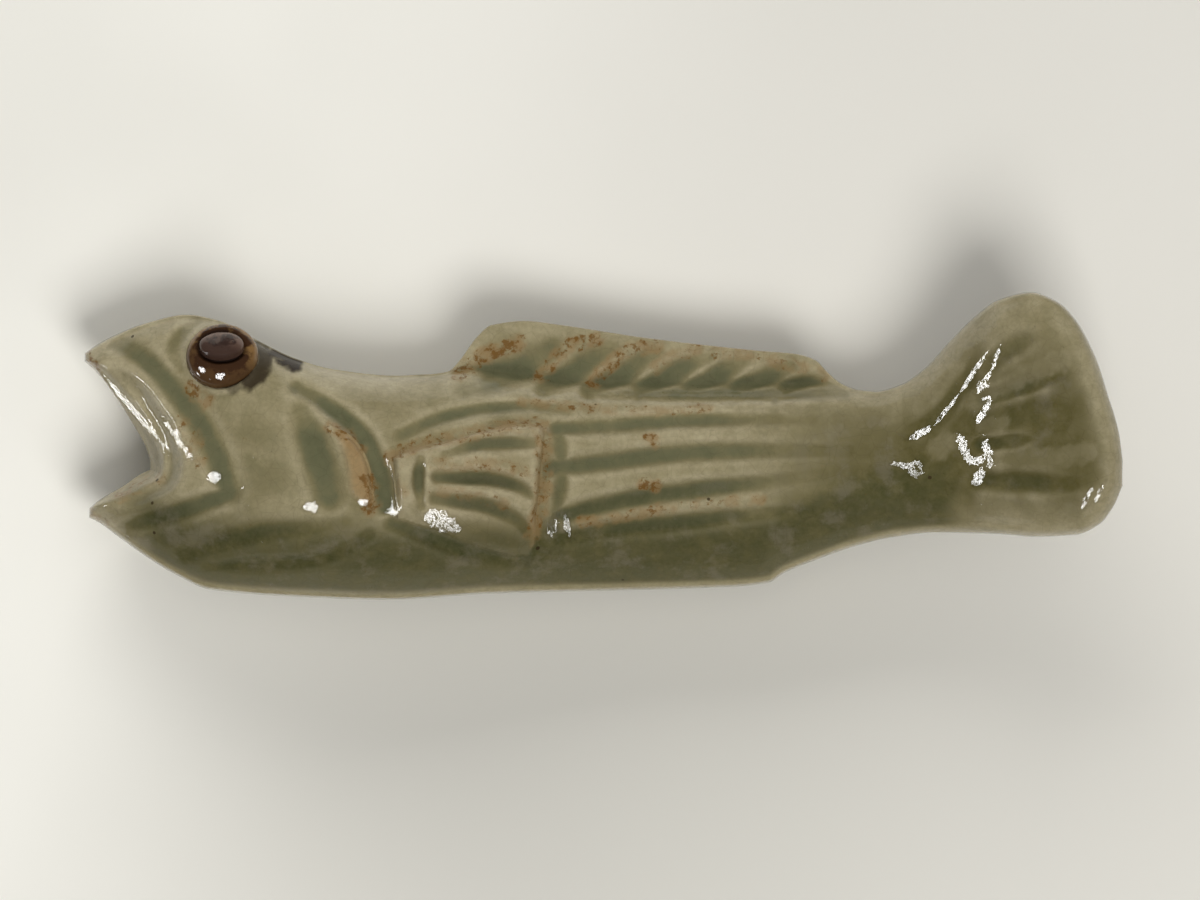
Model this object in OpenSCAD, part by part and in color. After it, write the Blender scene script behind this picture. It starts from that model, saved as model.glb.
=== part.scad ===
// Fish chopstick rest in glazed stoneware, lying on its side on a wiped foot.
// X runs from the snout to the tail, Y from the belly to the back, Z up.
// The origin is under the middle of the fish, on the table.

/* [Fish] */
// Length from the snout to the end of the tail
length = 90; // [75:1:110]
// Breadth from the belly to the upper lobe of the tail
breadth = 26.3; // [22:0.1:32]
// Height of the gill, the thickest place
gill_height = 14.4; // [12.5:0.1:18]
// Height of the flank, where the chopsticks lie
flank_height = 10.8; // [9.5:0.1:12]
// Height of the upper side of the snout
snout_height = 9.4; // [8:0.1:11]
// Height of the wrist, where the body meets the tail
wrist_height = 11; // [9.5:0.1:13]
// Height of the end of the tail
tail_height = 15.4; // [14.5:0.1:18]
// Height that the upper lobe of the tail gains by the twist
tail_twist = 2.4; // [0:0.1:3]

/* [Underside] */
// Space under the snout
snout_lift = 2.6; // [1:0.1:3.5]
// Space under the wrist
wrist_lift = 3.2; // [1.5:0.1:4]
// Space under the end of the tail
tail_lift = 10.5; // [9:0.1:11.2]
// Depth of clay wiped off to make the flat foot
foot_wipe = 0.4; // [0.2:0.05:0.8]

/* [Edges] */
// Upright land along the parting line of the mould
edge_land = 0.5; // [0.3:0.05:1]
// Width of the rounding along the outline of the body
edge_round = 3; // [2:0.1:4]
// Width of the rounding along the outline of the tail
tail_round = 2; // [1.2:0.1:3]
// Width of the sloping wall at the corner of the mouth
mouth_slope = 3.6; // [2:0.1:4.5]

/* [Dorsal fin] */
// Height of the fin above the parting line
fin_rise = 2.2; // [1.6:0.1:3]
// Depth of the fin below the parting line
fin_drop = 1.8; // [1.2:0.1:3]

/* [Grooves] */
// Width of a plain groove
groove_width = 2.8; // [2.2:0.1:3.4]
// Depth of a plain groove
groove_depth = 0.7; // [0.3:0.05:0.9]

/* [Applied pieces] */
// Depth that a fin or plate is pressed into the body
seat_depth = 0.6; // [0.4:0.05:1]
// Height of the pectoral fin above the body
pectoral_rise = 0.95; // [0.5:0.05:1.2]
// Width over which the pectoral fin thins towards the belly
pectoral_fade = 2.6; // [1.5:0.1:4]
// Height of the gill plate above the body
gill_rise = 0.7; // [0.4:0.05:1.2]

/* [Eye] */
// Diameter of the eyeball
eye_diameter = 6.2; // [5.4:0.1:6.8]
// Height of the eyeball above the head
eye_rise = 1.3; // [1:0.1:2]
// Depth that the eyeball is pressed into the head
eye_depth = 1; // [0.6:0.1:1.4]
// Lean of the eyeball towards the back, in degrees
eye_lean = 28; // [15:1:35]
// Diameter of the pupil
pupil_diameter = 3.8; // [3:0.1:4.4]
// Height of the pupil above the eyeball
pupil_rise = 0.5; // [0.3:0.05:0.8]
// Depth that the pupil is pressed into the eyeball
pupil_depth = 0.5; // [0.3:0.05:0.7]
// Lean of the pupil from the eyeball's own axis, in degrees
pupil_lean = 16; // [8:1:20]

/* [Hidden] */
$fn = 64;
// How far a cut runs past the surface it opens
overrun = 1;

// Colours of the glaze
celadon = [0.53, 0.49, 0.36];
olive = [0.37, 0.34, 0.22];
rust = [0.62, 0.48, 0.30];
amber = [0.36, 0.20, 0.11];
plum = [0.33, 0.22, 0.22];

// Points of the outline: share of the length from the snout, share of the breadth from the belly
back_shares = [
    [0, 0.815], [0.009, 0.838], [0.024, 0.868], [0.06, 0.917], [0.099, 0.945], [0.132, 0.924],
    [0.166, 0.863], [0.205, 0.798], [0.244, 0.761], [0.302, 0.742], [0.335, 0.747], [0.5, 0.69],
    [0.74, 0.688], [0.766, 0.69], [0.79, 0.711], [0.814, 0.766], [0.834, 0.84], [0.86, 0.928],
    [0.882, 0.979], [0.911, 1], [0.935, 0.971], [0.954, 0.909], [0.974, 0.78], [0.986, 0.655],
    [0.996, 0.54], [1, 0.445]];
belly_shares = [
    [0, 0.272], [0.013, 0.25], [0.021, 0.231], [0.06, 0.142], [0.089, 0.083], [0.123, 0.033],
    [0.205, 0.01], [0.292, 0], [0.398, 0.022], [0.495, 0.031], [0.631, 0.045], [0.663, 0.058],
    [0.678, 0.09], [0.708, 0.132], [0.747, 0.178], [0.785, 0.207], [0.824, 0.22], [0.882, 0.213],
    [0.921, 0.203], [0.957, 0.208], [0.979, 0.242], [0.992, 0.3], [1, 0.365]];
crest_shares = [
    [0.335, 0.747], [0.352, 0.756], [0.364, 0.797], [0.379, 0.868], [0.394, 0.911], [0.427, 0.926],
    [0.456, 0.916], [0.543, 0.872], [0.65, 0.83], [0.689, 0.818], [0.708, 0.798], [0.722, 0.75],
    [0.735, 0.715], [0.75, 0.696], [0.766, 0.69]];
upper_lip_shares = [
    [0, 0.79], [0.012, 0.752], [0.031, 0.667], [0.05, 0.568], [0.06, 0.508], [0.065, 0.457]];
lower_lip_shares = [[0, 0.3], [0.011, 0.33], [0.036, 0.376], [0.055, 0.414], [0.065, 0.429]];
// Places along the fish where its make changes, as shares of the length
mouth_share = 0.065;
fin_shares = [0.335, 0.766];
wrist_share = 0.79;
// Shares of the local breadth where the line behind the mouth runs
behind_mouth_shares = [[0.065, 0.395], [0.2, 0.5], [1, 0.5]];
// The lower jaw is shorter than the upper one by this share of the length
jaw_share = 0.005;

// Places of the heights along the fish, as shares of the length
crown = [
    [0, snout_height], [0.1, (snout_height + gill_height) / 2], [0.22, gill_height], [0.56, flank_height],
    [0.68, flank_height], [wrist_share, wrist_height], [0.85, mix(wrist_height, tail_height, 0.24)],
    [0.885, mix(wrist_height, tail_height, 0.6)], [1, tail_height]];
under = [
    [0, snout_lift], [0.2, foot_wipe / 4], [0.36, -foot_wipe], [0.6, -foot_wipe], [0.7, foot_wipe / 2],
    [wrist_share, wrist_lift], [1, tail_lift]];
// Share of the length over which the tail takes up its twist
twist_share = 0.13;
// Share of the thickness that lies below the parting line
parting_share = 0.4;
// How far the rounded body reaches under the dorsal fin, as a share of the fin's rise
root_share = 0.5;
// Fullness of the section from the snout to the tail: 2 is an ellipse, more is flatter
fullness_shares = [[0, 3], [0.2, 2.6], [0.4, 2.2], [0.72, 2.3], [0.85, 4], [1, 6]];

// Grooves: share of the groove width, share of the groove depth, the shares of its depth that are left
// at its start and at its end, and the points along it
groove_shares = [
    // Along the upper and the lower lip
    [1.25, 1.1, [0.8, 1],
        [[0.025, 0.87], [0.056, 0.8], [0.087, 0.69], [0.118, 0.555], [0.135, 0.44], [0.144, 0.345]]],
    [0.95, 1.1, [1, 0.8], [[0.141, 0.335], [0.12, 0.307], [0.086, 0.274], [0.052, 0.245], [0.036, 0.222]]],
    // Round the front of the eye
    [0.75, 0.6, [0.5, 0.5], [[0.11, 0.91], [0.095, 0.868], [0.088, 0.812], [0.094, 0.746]]],
    // The hollow in front of the gill plate and the groove behind it
    [1.6, 1.3, [0.5, 0.8], [[0.215, 0.61], [0.226, 0.492], [0.234, 0.406], [0.24, 0.33]]],
    [1, 1.3, [0.6, 0.8], [
        [0.209, 0.687], [0.231, 0.642], [0.254, 0.585], [0.273, 0.522], [0.285, 0.442], [0.292, 0.347],
        [0.294, 0.297]]],
    // Under the cheek and under the throat
    [1.05, 0.9, [0.7, 0.2], [[0.101, 0.144], [0.135, 0.179], [0.178, 0.212], [0.222, 0.224], [0.256, 0.244]]],
    [0.75, 0.8, [0.4, 0.5], [[0.123, 0.108], [0.185, 0.11], [0.226, 0.122], [0.257, 0.158], [0.279, 0.205]]],
    // Above, behind and under the pectoral fin
    [0.75, 0.9, [0.6, 0.4], [[0.308, 0.528], [0.342, 0.582], [0.39, 0.622], [0.43, 0.63], [0.468, 0.617]]],
    [0.75, 0.7, [0.8, 0.8], [[0.46, 0.565], [0.463, 0.419], [0.457, 0.23]]],
    [0.85, 0.9, [0.7, 0.5], [[0.3, 0.24], [0.341, 0.19], [0.383, 0.138], [0.427, 0.12]]],
    // Four flutes along the flank, and the long hollow above the belly
    [0.8, 0.9, [0.9, 0.1], [[0.458, 0.555], [0.518, 0.568], [0.584, 0.584], [0.651, 0.588], [0.704, 0.584]]],
    [0.95, 1, [0.95, 0.1],
        [[0.457, 0.426], [0.485, 0.436], [0.534, 0.459], [0.583, 0.477], [0.65, 0.484], [0.738, 0.482]]],
    [0.95, 1.05, [0.95, 0.1],
        [[0.464, 0.27], [0.502, 0.302], [0.551, 0.336], [0.602, 0.357], [0.651, 0.376], [0.714, 0.405]]],
    [0.85, 1, [0.6, 0.1],
        [[0.462, 0.195], [0.516, 0.228], [0.566, 0.244], [0.616, 0.264], [0.665, 0.28], [0.702, 0.288]]],
    [1.2, 0.4, [0.2, 0.2], [[0.407, 0.07], [0.527, 0.085], [0.667, 0.11]]],
    // Hollows between the rays of the dorsal fin, and the valley along its root
    [1.6, 1.1, [0.6, 0.6], [[0.371, 0.685], [0.401, 0.725], [0.426, 0.77], [0.451, 0.825]]],
    [1.15, 1, [0.7, 0.6], [[0.445, 0.692], [0.476, 0.762], [0.511, 0.84]]],
    [1.1, 1, [0.7, 0.6], [[0.489, 0.686], [0.52, 0.746], [0.556, 0.83]]],
    [1.15, 1, [0.8, 0.6], [[0.538, 0.68], [0.57, 0.748], [0.605, 0.81]]],
    [1.1, 1, [0.8, 0.6], [[0.582, 0.68], [0.61, 0.739], [0.641, 0.8]]],
    [1.05, 1, [0.8, 0.6], [[0.625, 0.676], [0.65, 0.721], [0.682, 0.777]]],
    [0.85, 0.9, [0.8, 0.6], [[0.668, 0.67], [0.687, 0.703], [0.711, 0.73]]],
    [0.8, 1, [0.5, 0.6], [[0.5, 0.678], [0.592, 0.676], [0.669, 0.676], [0.735, 0.68]]],
    // The crease where the tail leaves the wrist, and the hollows between its rays
    [0.9, 0.5, [0.2, 0.3], [[0.787, 0.522], [0.821, 0.59], [0.85, 0.727], [0.863, 0.81]]],
    [1.5, 0.3, [0.2, 0.2], [[0.73, 0.4], [0.78, 0.365], [0.83, 0.335]]],
    [0.95, 0.7, [0.8, 0.1], [[0.873, 0.765], [0.893, 0.816], [0.92, 0.856]]],
    [0.9, 0.8, [0.9, 0.1], [[0.866, 0.64], [0.893, 0.67], [0.94, 0.722]]],
    [2, 0.6, [0.8, 0.1], [[0.867, 0.585], [0.905, 0.59], [0.955, 0.595]]],
    [0.75, 0.8, [0.9, 0.1], [[0.864, 0.5], [0.893, 0.512], [0.92, 0.527]]],
    [1, 0.8, [0.9, 0.1], [[0.864, 0.384], [0.895, 0.377], [0.962, 0.363]]]];
// Share of a groove's half width that is its flat floor
floor_share = 0.12;
// Share of its width that a groove keeps where it has faded out
narrow_share = 0.55;

// The pectoral fin's lower and upper edges, from the shoulder to the trailing edge
pectoral_low_shares = [
    [0.306, 0.255], [0.324, 0.232], [0.344, 0.215], [0.369, 0.182], [0.394, 0.152], [0.413, 0.136],
    [0.429, 0.136], [0.438, 0.174]];
pectoral_high_shares = [
    [0.299, 0.459], [0.314, 0.485], [0.334, 0.501], [0.363, 0.525], [0.392, 0.554], [0.416, 0.577],
    [0.44, 0.577], [0.449, 0.554]];
pectoral_groove_shares = [
    [0.6, 0.9, [0.4, 0.4], [[0.328, 0.452], [0.326, 0.372], [0.329, 0.297]]],
    [0.8, 1, [0.3, 0.6], [[0.352, 0.468], [0.389, 0.504], [0.439, 0.506]]],
    [0.75, 1.1, [0.6, 0.5], [[0.344, 0.388], [0.386, 0.387], [0.419, 0.364], [0.437, 0.328]]],
    [0.85, 0.9, [0.6, 0.6], [[0.342, 0.318], [0.384, 0.302], [0.417, 0.258], [0.432, 0.22]]]];
// Share of its height that the pectoral fin keeps at the belly
thinned_share = 0.45;
// The gill plate's inner and outer edges, from top to bottom
gill_inner_shares = [
    [0.238, 0.552], [0.245, 0.506], [0.25, 0.457], [0.254, 0.404], [0.256, 0.353], [0.262, 0.312],
    [0.271, 0.29]];
gill_outer_shares = [
    [0.242, 0.559], [0.258, 0.535], [0.271, 0.489], [0.279, 0.434], [0.283, 0.37], [0.284, 0.318],
    [0.279, 0.287]];
// How much of the gill plate's rise its inner edge has
gill_inner_share = 0.2;
// Place of the eye
eye_share = [0.1366, 0.793];

// Numbers of columns and rows of the clay surfaces
jaw_columns = 10;
head_columns = 28;
fin_columns = 40;
wrist_columns = 4;
tail_columns = 22;
lower_rows = 12;
upper_rows = 11;
fin_rows = 7;

// A smooth curve through the points of a table that never overshoots them
function steepness(t, k) = (t[k + 1][1] - t[k][1]) / (t[k + 1][0] - t[k][0]);
function slope(t, k) =
    k == 0 ? steepness(t, 0) :
    k == len(t) - 1 ? steepness(t, k - 1) :
    let (a = steepness(t, k - 1), b = steepness(t, k)) a * b <= 0 ? 0 : 2 * a * b / (a + b);
function curve(t, x) =
    let (k = max([for (n = [0:len(t) - 2]) if (n == 0 || t[n][0] <= x) n]),
         h = t[k + 1][0] - t[k][0],
         u = clamp((x - t[k][0]) / h))
    t[k][1] * (1 + 2 * u) * (1 - u) * (1 - u) + t[k + 1][1] * u * u * (3 - 2 * u)
    + h * u * (1 - u) * (slope(t, k) * (1 - u) - slope(t, k + 1) * u);

function clamp(u) = max(0, min(1, u));
function ease(u) = let (c = clamp(u)) c * c * (3 - 2 * c);
function mix(a, b, u) = a + (b - a) * u;
// Quarter circle: 0 at the edge, 1 where the rounding ends
function quarter(u) = let (c = 1 - clamp(u)) sqrt(1 - c * c);
// The greater or lesser of two heights, blended over a width w
function blend_max(a, b, w) = let (h = max(w - abs(a - b), 0) / w) max(a, b) + h * h * w / 4;
function blend_min(a, b, w) = let (h = max(w - abs(a - b), 0) / w) min(a, b) - h * h * w / 4;

// Place on the table of a point given in shares
function place(s) = [(s.x - 0.5) * length, (s.y - 0.5) * breadth];
function places(t) = [for (s = t) place(s)];
function share_of(p) = p.x / length + 0.5;
function edge_y(t, s) = (curve(t, s) - 0.5) * breadth;

// Distance from a point to an open line, or reach if the line is further away
function to_segment(p, a, b) =
    let (d = b - a, t = clamp(((p - a) * d) / (d * d))) norm(p - a - t * d);
function to_line(p, line, reach) =
    min([reach, for (k = [0:len(line) - 2])
        if (min(line[k].x, line[k + 1].x) < p.x + reach && max(line[k].x, line[k + 1].x) > p.x - reach)
            to_segment(p, line[k], line[k + 1])]);

// Shares of the length where the columns of the body and the tail stand
function spread(a, b, n) = [for (k = [1:n]) mix(a, b, k / n)];
main_shares = concat(
    [mouth_share],
    spread(mouth_share, fin_shares[0], head_columns),
    spread(fin_shares[0], fin_shares[1], fin_columns),
    spread(fin_shares[1], wrist_share, wrist_columns));
// The tail's columns crowd towards its end
tail_shares = [for (k = [0:tail_columns]) let (u = k / tail_columns)
    mix(wrist_share, 1, mix(u, sin(90 * u), 0.6))];
fin_span_shares = [for (s = main_shares) if (s >= fin_shares[0] && s <= fin_shares[1]) s];

// The whole outline but the mouth, and the mouth itself
function skyline(s) =
    (s > fin_shares[0] && s < fin_shares[1]) ? curve(crest_shares, s) : curve(back_shares, s);
jaw_shares = [for (k = [0:jaw_columns]) mouth_share * k / jaw_columns];
function lower_jaw(s) = mix(jaw_share, mouth_share, s / mouth_share);
outer_line = concat(
    [place([0, upper_lip_shares[0].y])],
    [for (s = concat(jaw_shares, main_shares, tail_shares)) place([s, skyline(s)])],
    [for (k = [tail_columns:-1:0]) place([tail_shares[k], curve(belly_shares, tail_shares[k])])],
    [for (k = [len(main_shares) - 1:-1:0]) place([main_shares[k], curve(belly_shares, main_shares[k])])],
    [for (k = [jaw_columns:-1:0]) place([lower_jaw(jaw_shares[k]), curve(belly_shares, jaw_shares[k])])],
    [place([jaw_share, lower_lip_shares[0].y])]);
mouth_line = concat(
    [for (s = jaw_shares) place([s, curve(upper_lip_shares, s)])],
    [for (k = [jaw_columns:-1:0]) place([lower_jaw(jaw_shares[k]), curve(lower_lip_shares, jaw_shares[k])])]);

// Heights along the fish
function top_at(s) = curve(crown, s);
function under_at(s) = curve(under, s);
function parting_at(s) = mix(under_at(s), top_at(s), parting_share);
function round_at(s) = mix(edge_round, tail_round, ease((s - fin_shares[1]) / (1 - fin_shares[1])));

// Share of the full height across the body, 1 on its middle line and 0 at its sides
function swell(p, s) =
    let (low = edge_y(belly_shares, s),
         in_fin = ease((s - fin_shares[0]) / 0.05) * ease((fin_shares[1] - s) / 0.05),
         high = edge_y(back_shares, s) + in_fin * root_share * fin_rise,
         q = clamp(abs(p.y - (low + high) / 2) / ((high - low) / 2)))
    sqrt(1 - pow(q, curve(fullness_shares, s)));

// Limits set by the rounding of the outline and by the sloping wall of the mouth
function outline_cap(p, s) = quarter(to_line(p, outer_line, round_at(s)) / round_at(s));
function mouth_cap(p, s) =
    s > 2.2 * mouth_share ? 1 :
    let (w = mix(edge_round / 2, mouth_slope, ease(s / mouth_share)),
         d = to_line(p, mouth_line, w) / w)
    mix(quarter(d), 0.2 + 0.8 * d, ease(s / mouth_share));

// Relief: how deep the grooves lie at a point. A groove deepens and widens over the first third
// of its line, and fades and narrows over the last half.
function left(ends, u) = mix(ends[0], 1, ease(u * 3)) * mix(1, ends[1], ease(u * 2 - 1));
function dip(far) = 1 - ease((far - floor_share) / (1 - floor_share));
function valley(p, g) =
    let (n = len(g[3]) - 1, w = g[0] * groove_width / 2)
    max([0, for (k = [0:n - 1]) let (a = g[3][k], b = g[3][k + 1])
        if (min(a.x, b.x) < p.x + w && max(a.x, b.x) > p.x - w)
            let (t = clamp(((p - a) * (b - a)) / ((b - a) * (b - a))), part = left(g[2], (k + t) / n))
            part * dip(norm(p - a - t * (b - a)) / (w * mix(narrow_share, 1, part)))]) * g[1] * groove_depth;
function grooved(p, grooves) = max([0, for (g = grooves) valley(p, g)]);
function laid(t) = [for (g = t) [g[0], g[1], g[2], places(g[3])]];
body_grooves = laid(groove_shares);
pectoral_grooves = laid(pectoral_groove_shares);

// Height of the clay above and below the parting line
function rise(p) =
    let (s = share_of(p),
         full = top_at(s) - parting_at(s),
         body = full * swell(p, s),
         plain = blend_max(body, min(fin_rise, full), edge_land))
    blend_min(plain, full * min(outline_cap(p, s), mouth_cap(p, s)), edge_land);
function drop(p) =
    let (s = share_of(p),
         full = parting_at(s) - under_at(s),
         body = full * swell(p, s),
         plain = blend_max(body, min(fin_drop, full), edge_land))
    min(plain, full * min(outline_cap(p, s), mouth_cap(p, s)));
function parting_over(p) =
    let (s = share_of(p))
    parting_at(s) + tail_twist * p.y / (breadth / 2) * ease((s - wrist_share) / twist_share);
function smooth_top(p) = parting_over(p) + edge_land / 2 + max(0, rise(p));
function clay_top(p) =
    let (r = max(0, rise(p)))
    parting_over(p) + edge_land / 2 + max(0, r - grooved(p, body_grooves) * ease(r / (2 * groove_depth)));
function clay_base(p) = parting_over(p) - edge_land / 2 - drop(p);

// A solid over a grid of places: top and base hold its heights, and open cells are left out.
// Columns run along X and rows across them, so that each cell turns left seen from above.
module grid_solid(plan, tops, bases, open) {
    columns = len(plan) - 1;
    rows = len(plan[0]) - 1;
    count = (columns + 1) * (rows + 1);
    points = concat(
        [for (i = [0:columns]) for (j = [0:rows]) [plan[i][j].x, plan[i][j].y, tops[i][j]]],
        [for (i = [0:columns]) for (j = [0:rows]) [plan[i][j].x, plan[i][j].y, bases[i][j]]]);
    // A column that shrinks to one place uses its first point for every row
    shut = [for (c = plan) norm(c[0] - c[rows]) < edge_land / 1000];
    function at(i, j) = i * (rows + 1) + (shut[i] ? 0 : j);
    function below(i, j) = count + at(i, j);
    function filled(i, j) = i >= 0 && i < columns && j >= 0 && j < rows && !(i < open[0] && j == open[1]);
    function distinct(f) = [for (k = [0:len(f) - 1]) if (f[k] != f[(k + 1) % len(f)]) f[k]];
    faces = [for (i = [0:columns - 1]) for (j = [0:rows - 1]) if (filled(i, j)) each [
        [at(i, j), at(i + 1, j + 1), at(i + 1, j)],
        [at(i, j), at(i, j + 1), at(i + 1, j + 1)],
        [below(i, j), below(i + 1, j), below(i + 1, j + 1)],
        [below(i, j), below(i + 1, j + 1), below(i, j + 1)],
        if (!filled(i, j - 1)) [below(i, j), at(i, j), at(i + 1, j), below(i + 1, j)],
        if (!filled(i, j + 1)) [below(i + 1, j + 1), at(i + 1, j + 1), at(i, j + 1), below(i, j + 1)],
        if (!filled(i - 1, j)) [below(i, j + 1), at(i, j + 1), at(i, j), below(i, j)],
        if (!filled(i + 1, j)) [below(i + 1, j), at(i + 1, j), at(i + 1, j + 1), below(i + 1, j + 1)]]];
    polyhedron(points, [for (f = faces) let (d = distinct(f)) if (len(d) > 2) d]);
}

// Rows crowd towards the outline, where the clay turns down
function crowd(u) = pow(u, 1.35);
function body_column(s, low_s, low_y, high_s, high_y) = concat(
    [for (j = [0:lower_rows])
        place([low_s, mix(curve(belly_shares, s), low_y, crowd(j / lower_rows))])],
    [for (j = [upper_rows:-1:0])
        place([high_s, mix(curve(back_shares, s), high_y, crowd(j / upper_rows))])]);
// Behind the mouth the two middle rows run on, a row apart
function gap_y(s, side) =
    let (low = curve(belly_shares, s),
         high = curve(back_shares, s),
         lips = (upper_lip_shares[5].y - lower_lip_shares[4].y) / 2,
         half = mix(lips, 0.02, ease((s - mouth_share) / 0.1)))
    mix(low, high, curve(behind_mouth_shares, s)) + side * half;
body_plan = concat(
    [for (k = [0:jaw_columns - 1]) let (s = jaw_shares[k])
        body_column(s, lower_jaw(s), curve(lower_lip_shares, s), s, curve(upper_lip_shares, s))],
    [for (s = main_shares) body_column(s, s, gap_y(s, -1), s, gap_y(s, 1))]);

module clay(plan, open = [0, 0]) {
    tops = [for (c = plan) [for (p = c) clay_top(p)]];
    bases = [for (c = plan) [for (p = c) clay_base(p)]];
    grid_solid(plan, tops, bases, open);
}

// A thin piece pressed on to the body: it lies seat_depth in the clay and stands proud by its rise
function patch(first, last, columns, rows) = [
    for (i = [0:columns]) let (
        t = i / columns * (len(first) - 1),
        k = min(floor(t), len(first) - 2),
        a = mix(first[k], first[k + 1], t - k),
        b = mix(last[k], last[k + 1], t - k))
    [for (j = [0:rows]) place(mix(a, b, j / rows))]];
pectoral_plan = patch(pectoral_low_shares, pectoral_high_shares, 14, 12);
gill_plan = patch(gill_inner_shares, gill_outer_shares, 12, 4);
function seat(plan) = [for (c = plan) [for (p = c) smooth_top(p) - seat_depth]];

module socket(plan) {
    grid_solid(plan, [for (c = plan) [for (p = c) gill_height + overrun]], seat(plan), [0, 0]);
}

function pectoral_top(p) =
    let (belly = to_line(p, places(pectoral_low_shares), pectoral_fade) / pectoral_fade,
         thick = pectoral_rise * mix(thinned_share, 1, ease(belly)))
    smooth_top(p) + thick - min(grooved(p, pectoral_grooves), thick + seat_depth / 2);

module pectoral_fin() {
    tops = [for (c = pectoral_plan) [for (p = c) pectoral_top(p)]];
    color(rust) grid_solid(pectoral_plan, tops, seat(pectoral_plan), [0, 0]);
}

// The gill plate rises from its inner edge to a sharp outer one
module gill_cover() {
    tops = [for (c = gill_plan) [for (j = [0:len(c) - 1])
        smooth_top(c[j]) + gill_rise * mix(gill_inner_share, 1, j / (len(c) - 1))]];
    color(rust) grid_solid(gill_plan, tops, seat(gill_plan), [0, 0]);
}

// The eyeball's own frame: its middle on the head, its axis leaning to the back
module on_eye() {
    p = place(eye_share);
    translate([p.x, p.y, smooth_top(p)])
        rotate([-eye_lean, 0, 0])
            children();
}

// A pellet with an upright rim and a domed top
module pellet(diameter, depth, rise) {
    rim = rise / 3;
    dome = rise - rim;
    ball = (diameter * diameter / 4 + dome * dome) / (2 * dome);
    translate([0, 0, -depth])
        rotate_extrude()
            intersection() {
                translate([0, depth + rise - ball]) circle(r = ball);
                square([diameter / 2, depth + rise]);
            }
}

module on_pupil() {
    on_eye()
        rotate([-pupil_lean, 0, 0])
            translate([0, 0, eye_rise])
                children();
}

module eyeball() {
    color(amber)
        difference() {
            on_eye() pellet(eye_diameter, eye_depth, eye_rise);
            on_pupil()
                translate([0, 0, -pupil_depth]) cylinder(d = pupil_diameter, h = pupil_depth + overrun);
        }
}

module pupil() {
    color(plum) on_pupil() pellet(pupil_diameter, pupil_depth, pupil_rise);
}

module fish_body() {
    color(celadon)
        difference() {
            clay(body_plan, [jaw_columns, lower_rows]);
            socket(pectoral_plan);
            socket(gill_plan);
            on_eye() translate([0, 0, -eye_depth]) cylinder(d = eye_diameter, h = gill_height);
            translate([-length / 2, -breadth / 2, -gill_height]) cube([length, breadth, gill_height]);
        }
}

module dorsal_fin() {
    color(celadon)
        clay([for (s = fin_span_shares) [for (j = [0:fin_rows])
            place([s, mix(curve(back_shares, s), curve(crest_shares, s), j / fin_rows)])]]);
}

module tail_fin() {
    color(olive)
        clay([for (s = tail_shares) body_column(s, s, gap_y(s, -1), s, gap_y(s, 1))]);
}

fish_body();
dorsal_fin();
tail_fin();
pectoral_fin();
gill_cover();
eyeball();
pupil();
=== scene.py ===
import bpy
import numpy as np
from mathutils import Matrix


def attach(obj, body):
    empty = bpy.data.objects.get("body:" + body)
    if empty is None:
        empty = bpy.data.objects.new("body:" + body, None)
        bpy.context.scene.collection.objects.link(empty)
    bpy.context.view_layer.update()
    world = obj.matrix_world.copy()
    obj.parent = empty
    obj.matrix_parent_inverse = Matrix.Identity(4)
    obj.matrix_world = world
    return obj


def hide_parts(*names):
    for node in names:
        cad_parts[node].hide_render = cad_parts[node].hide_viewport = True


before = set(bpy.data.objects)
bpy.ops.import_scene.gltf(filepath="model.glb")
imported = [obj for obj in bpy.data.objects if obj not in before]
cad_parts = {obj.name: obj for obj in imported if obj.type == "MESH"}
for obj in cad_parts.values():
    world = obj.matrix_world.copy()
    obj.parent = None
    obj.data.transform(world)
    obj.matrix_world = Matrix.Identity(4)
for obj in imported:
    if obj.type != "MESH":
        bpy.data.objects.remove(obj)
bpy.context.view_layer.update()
print("frame loaded")

mm = 0.001  # sizes below are in millimetres times this
tiny = 1e-20  # kept under a divisor that may be nothing
touching = 1e-8  # points nearer than this are one

# Main sizes of the fish, the same as the clay's
fish = dict(
    length=90 * mm,
    breadth=26.3 * mm,
    gillHeight=14.4 * mm,
    flankHeight=10.8 * mm,
    snoutHeight=9.4 * mm,
    wristHeight=11 * mm,
    tailHeight=15.4 * mm,
    tailTwist=2.4 * mm,  # rise of the upper lobe
    twist=0.13,  # share of the length over which the tail takes up its twist
    snoutLift=2.6 * mm,
    wristLift=3.2 * mm,
    tailLift=10.5 * mm,
    footWipe=0.4 * mm,
    footEdge=(0.02 * mm, 0.22 * mm),  # heights between which bare clay gives way to glaze
    land=0.5 * mm,  # upright strip along the parting line
    edgeRound=3 * mm,
    tailRound=2 * mm,
    mouthSlope=3.6 * mm,
    finRise=2.2 * mm,
    finDrop=1.8 * mm,
    parting=0.4,  # share of the thickness below the parting line
    root=0.5,
    grooveWidth=2.8 * mm,
    grooveDepth=0.7 * mm,
    grooveFloor=0.12,  # share of the half width that is level
    grooveNarrow=0.55,  # share of the width left where a groove has faded out
    filled=0.35,  # share of a groove's depth that the glaze fills
    handmade=(11 * mm, 0.05 * mm),  # length and height of the slow unevenness left by the fingers
    ripple=(4.5 * mm, 0.07 * mm),  # and of the shorter ripples in the thick glaze of the tail
    rippled=(0.76, 0.82),  # shares of the length over which the ripples come up
    shallow=2 * mm,  # unevenness fades where the clay rises less than this above its edge
)

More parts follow.
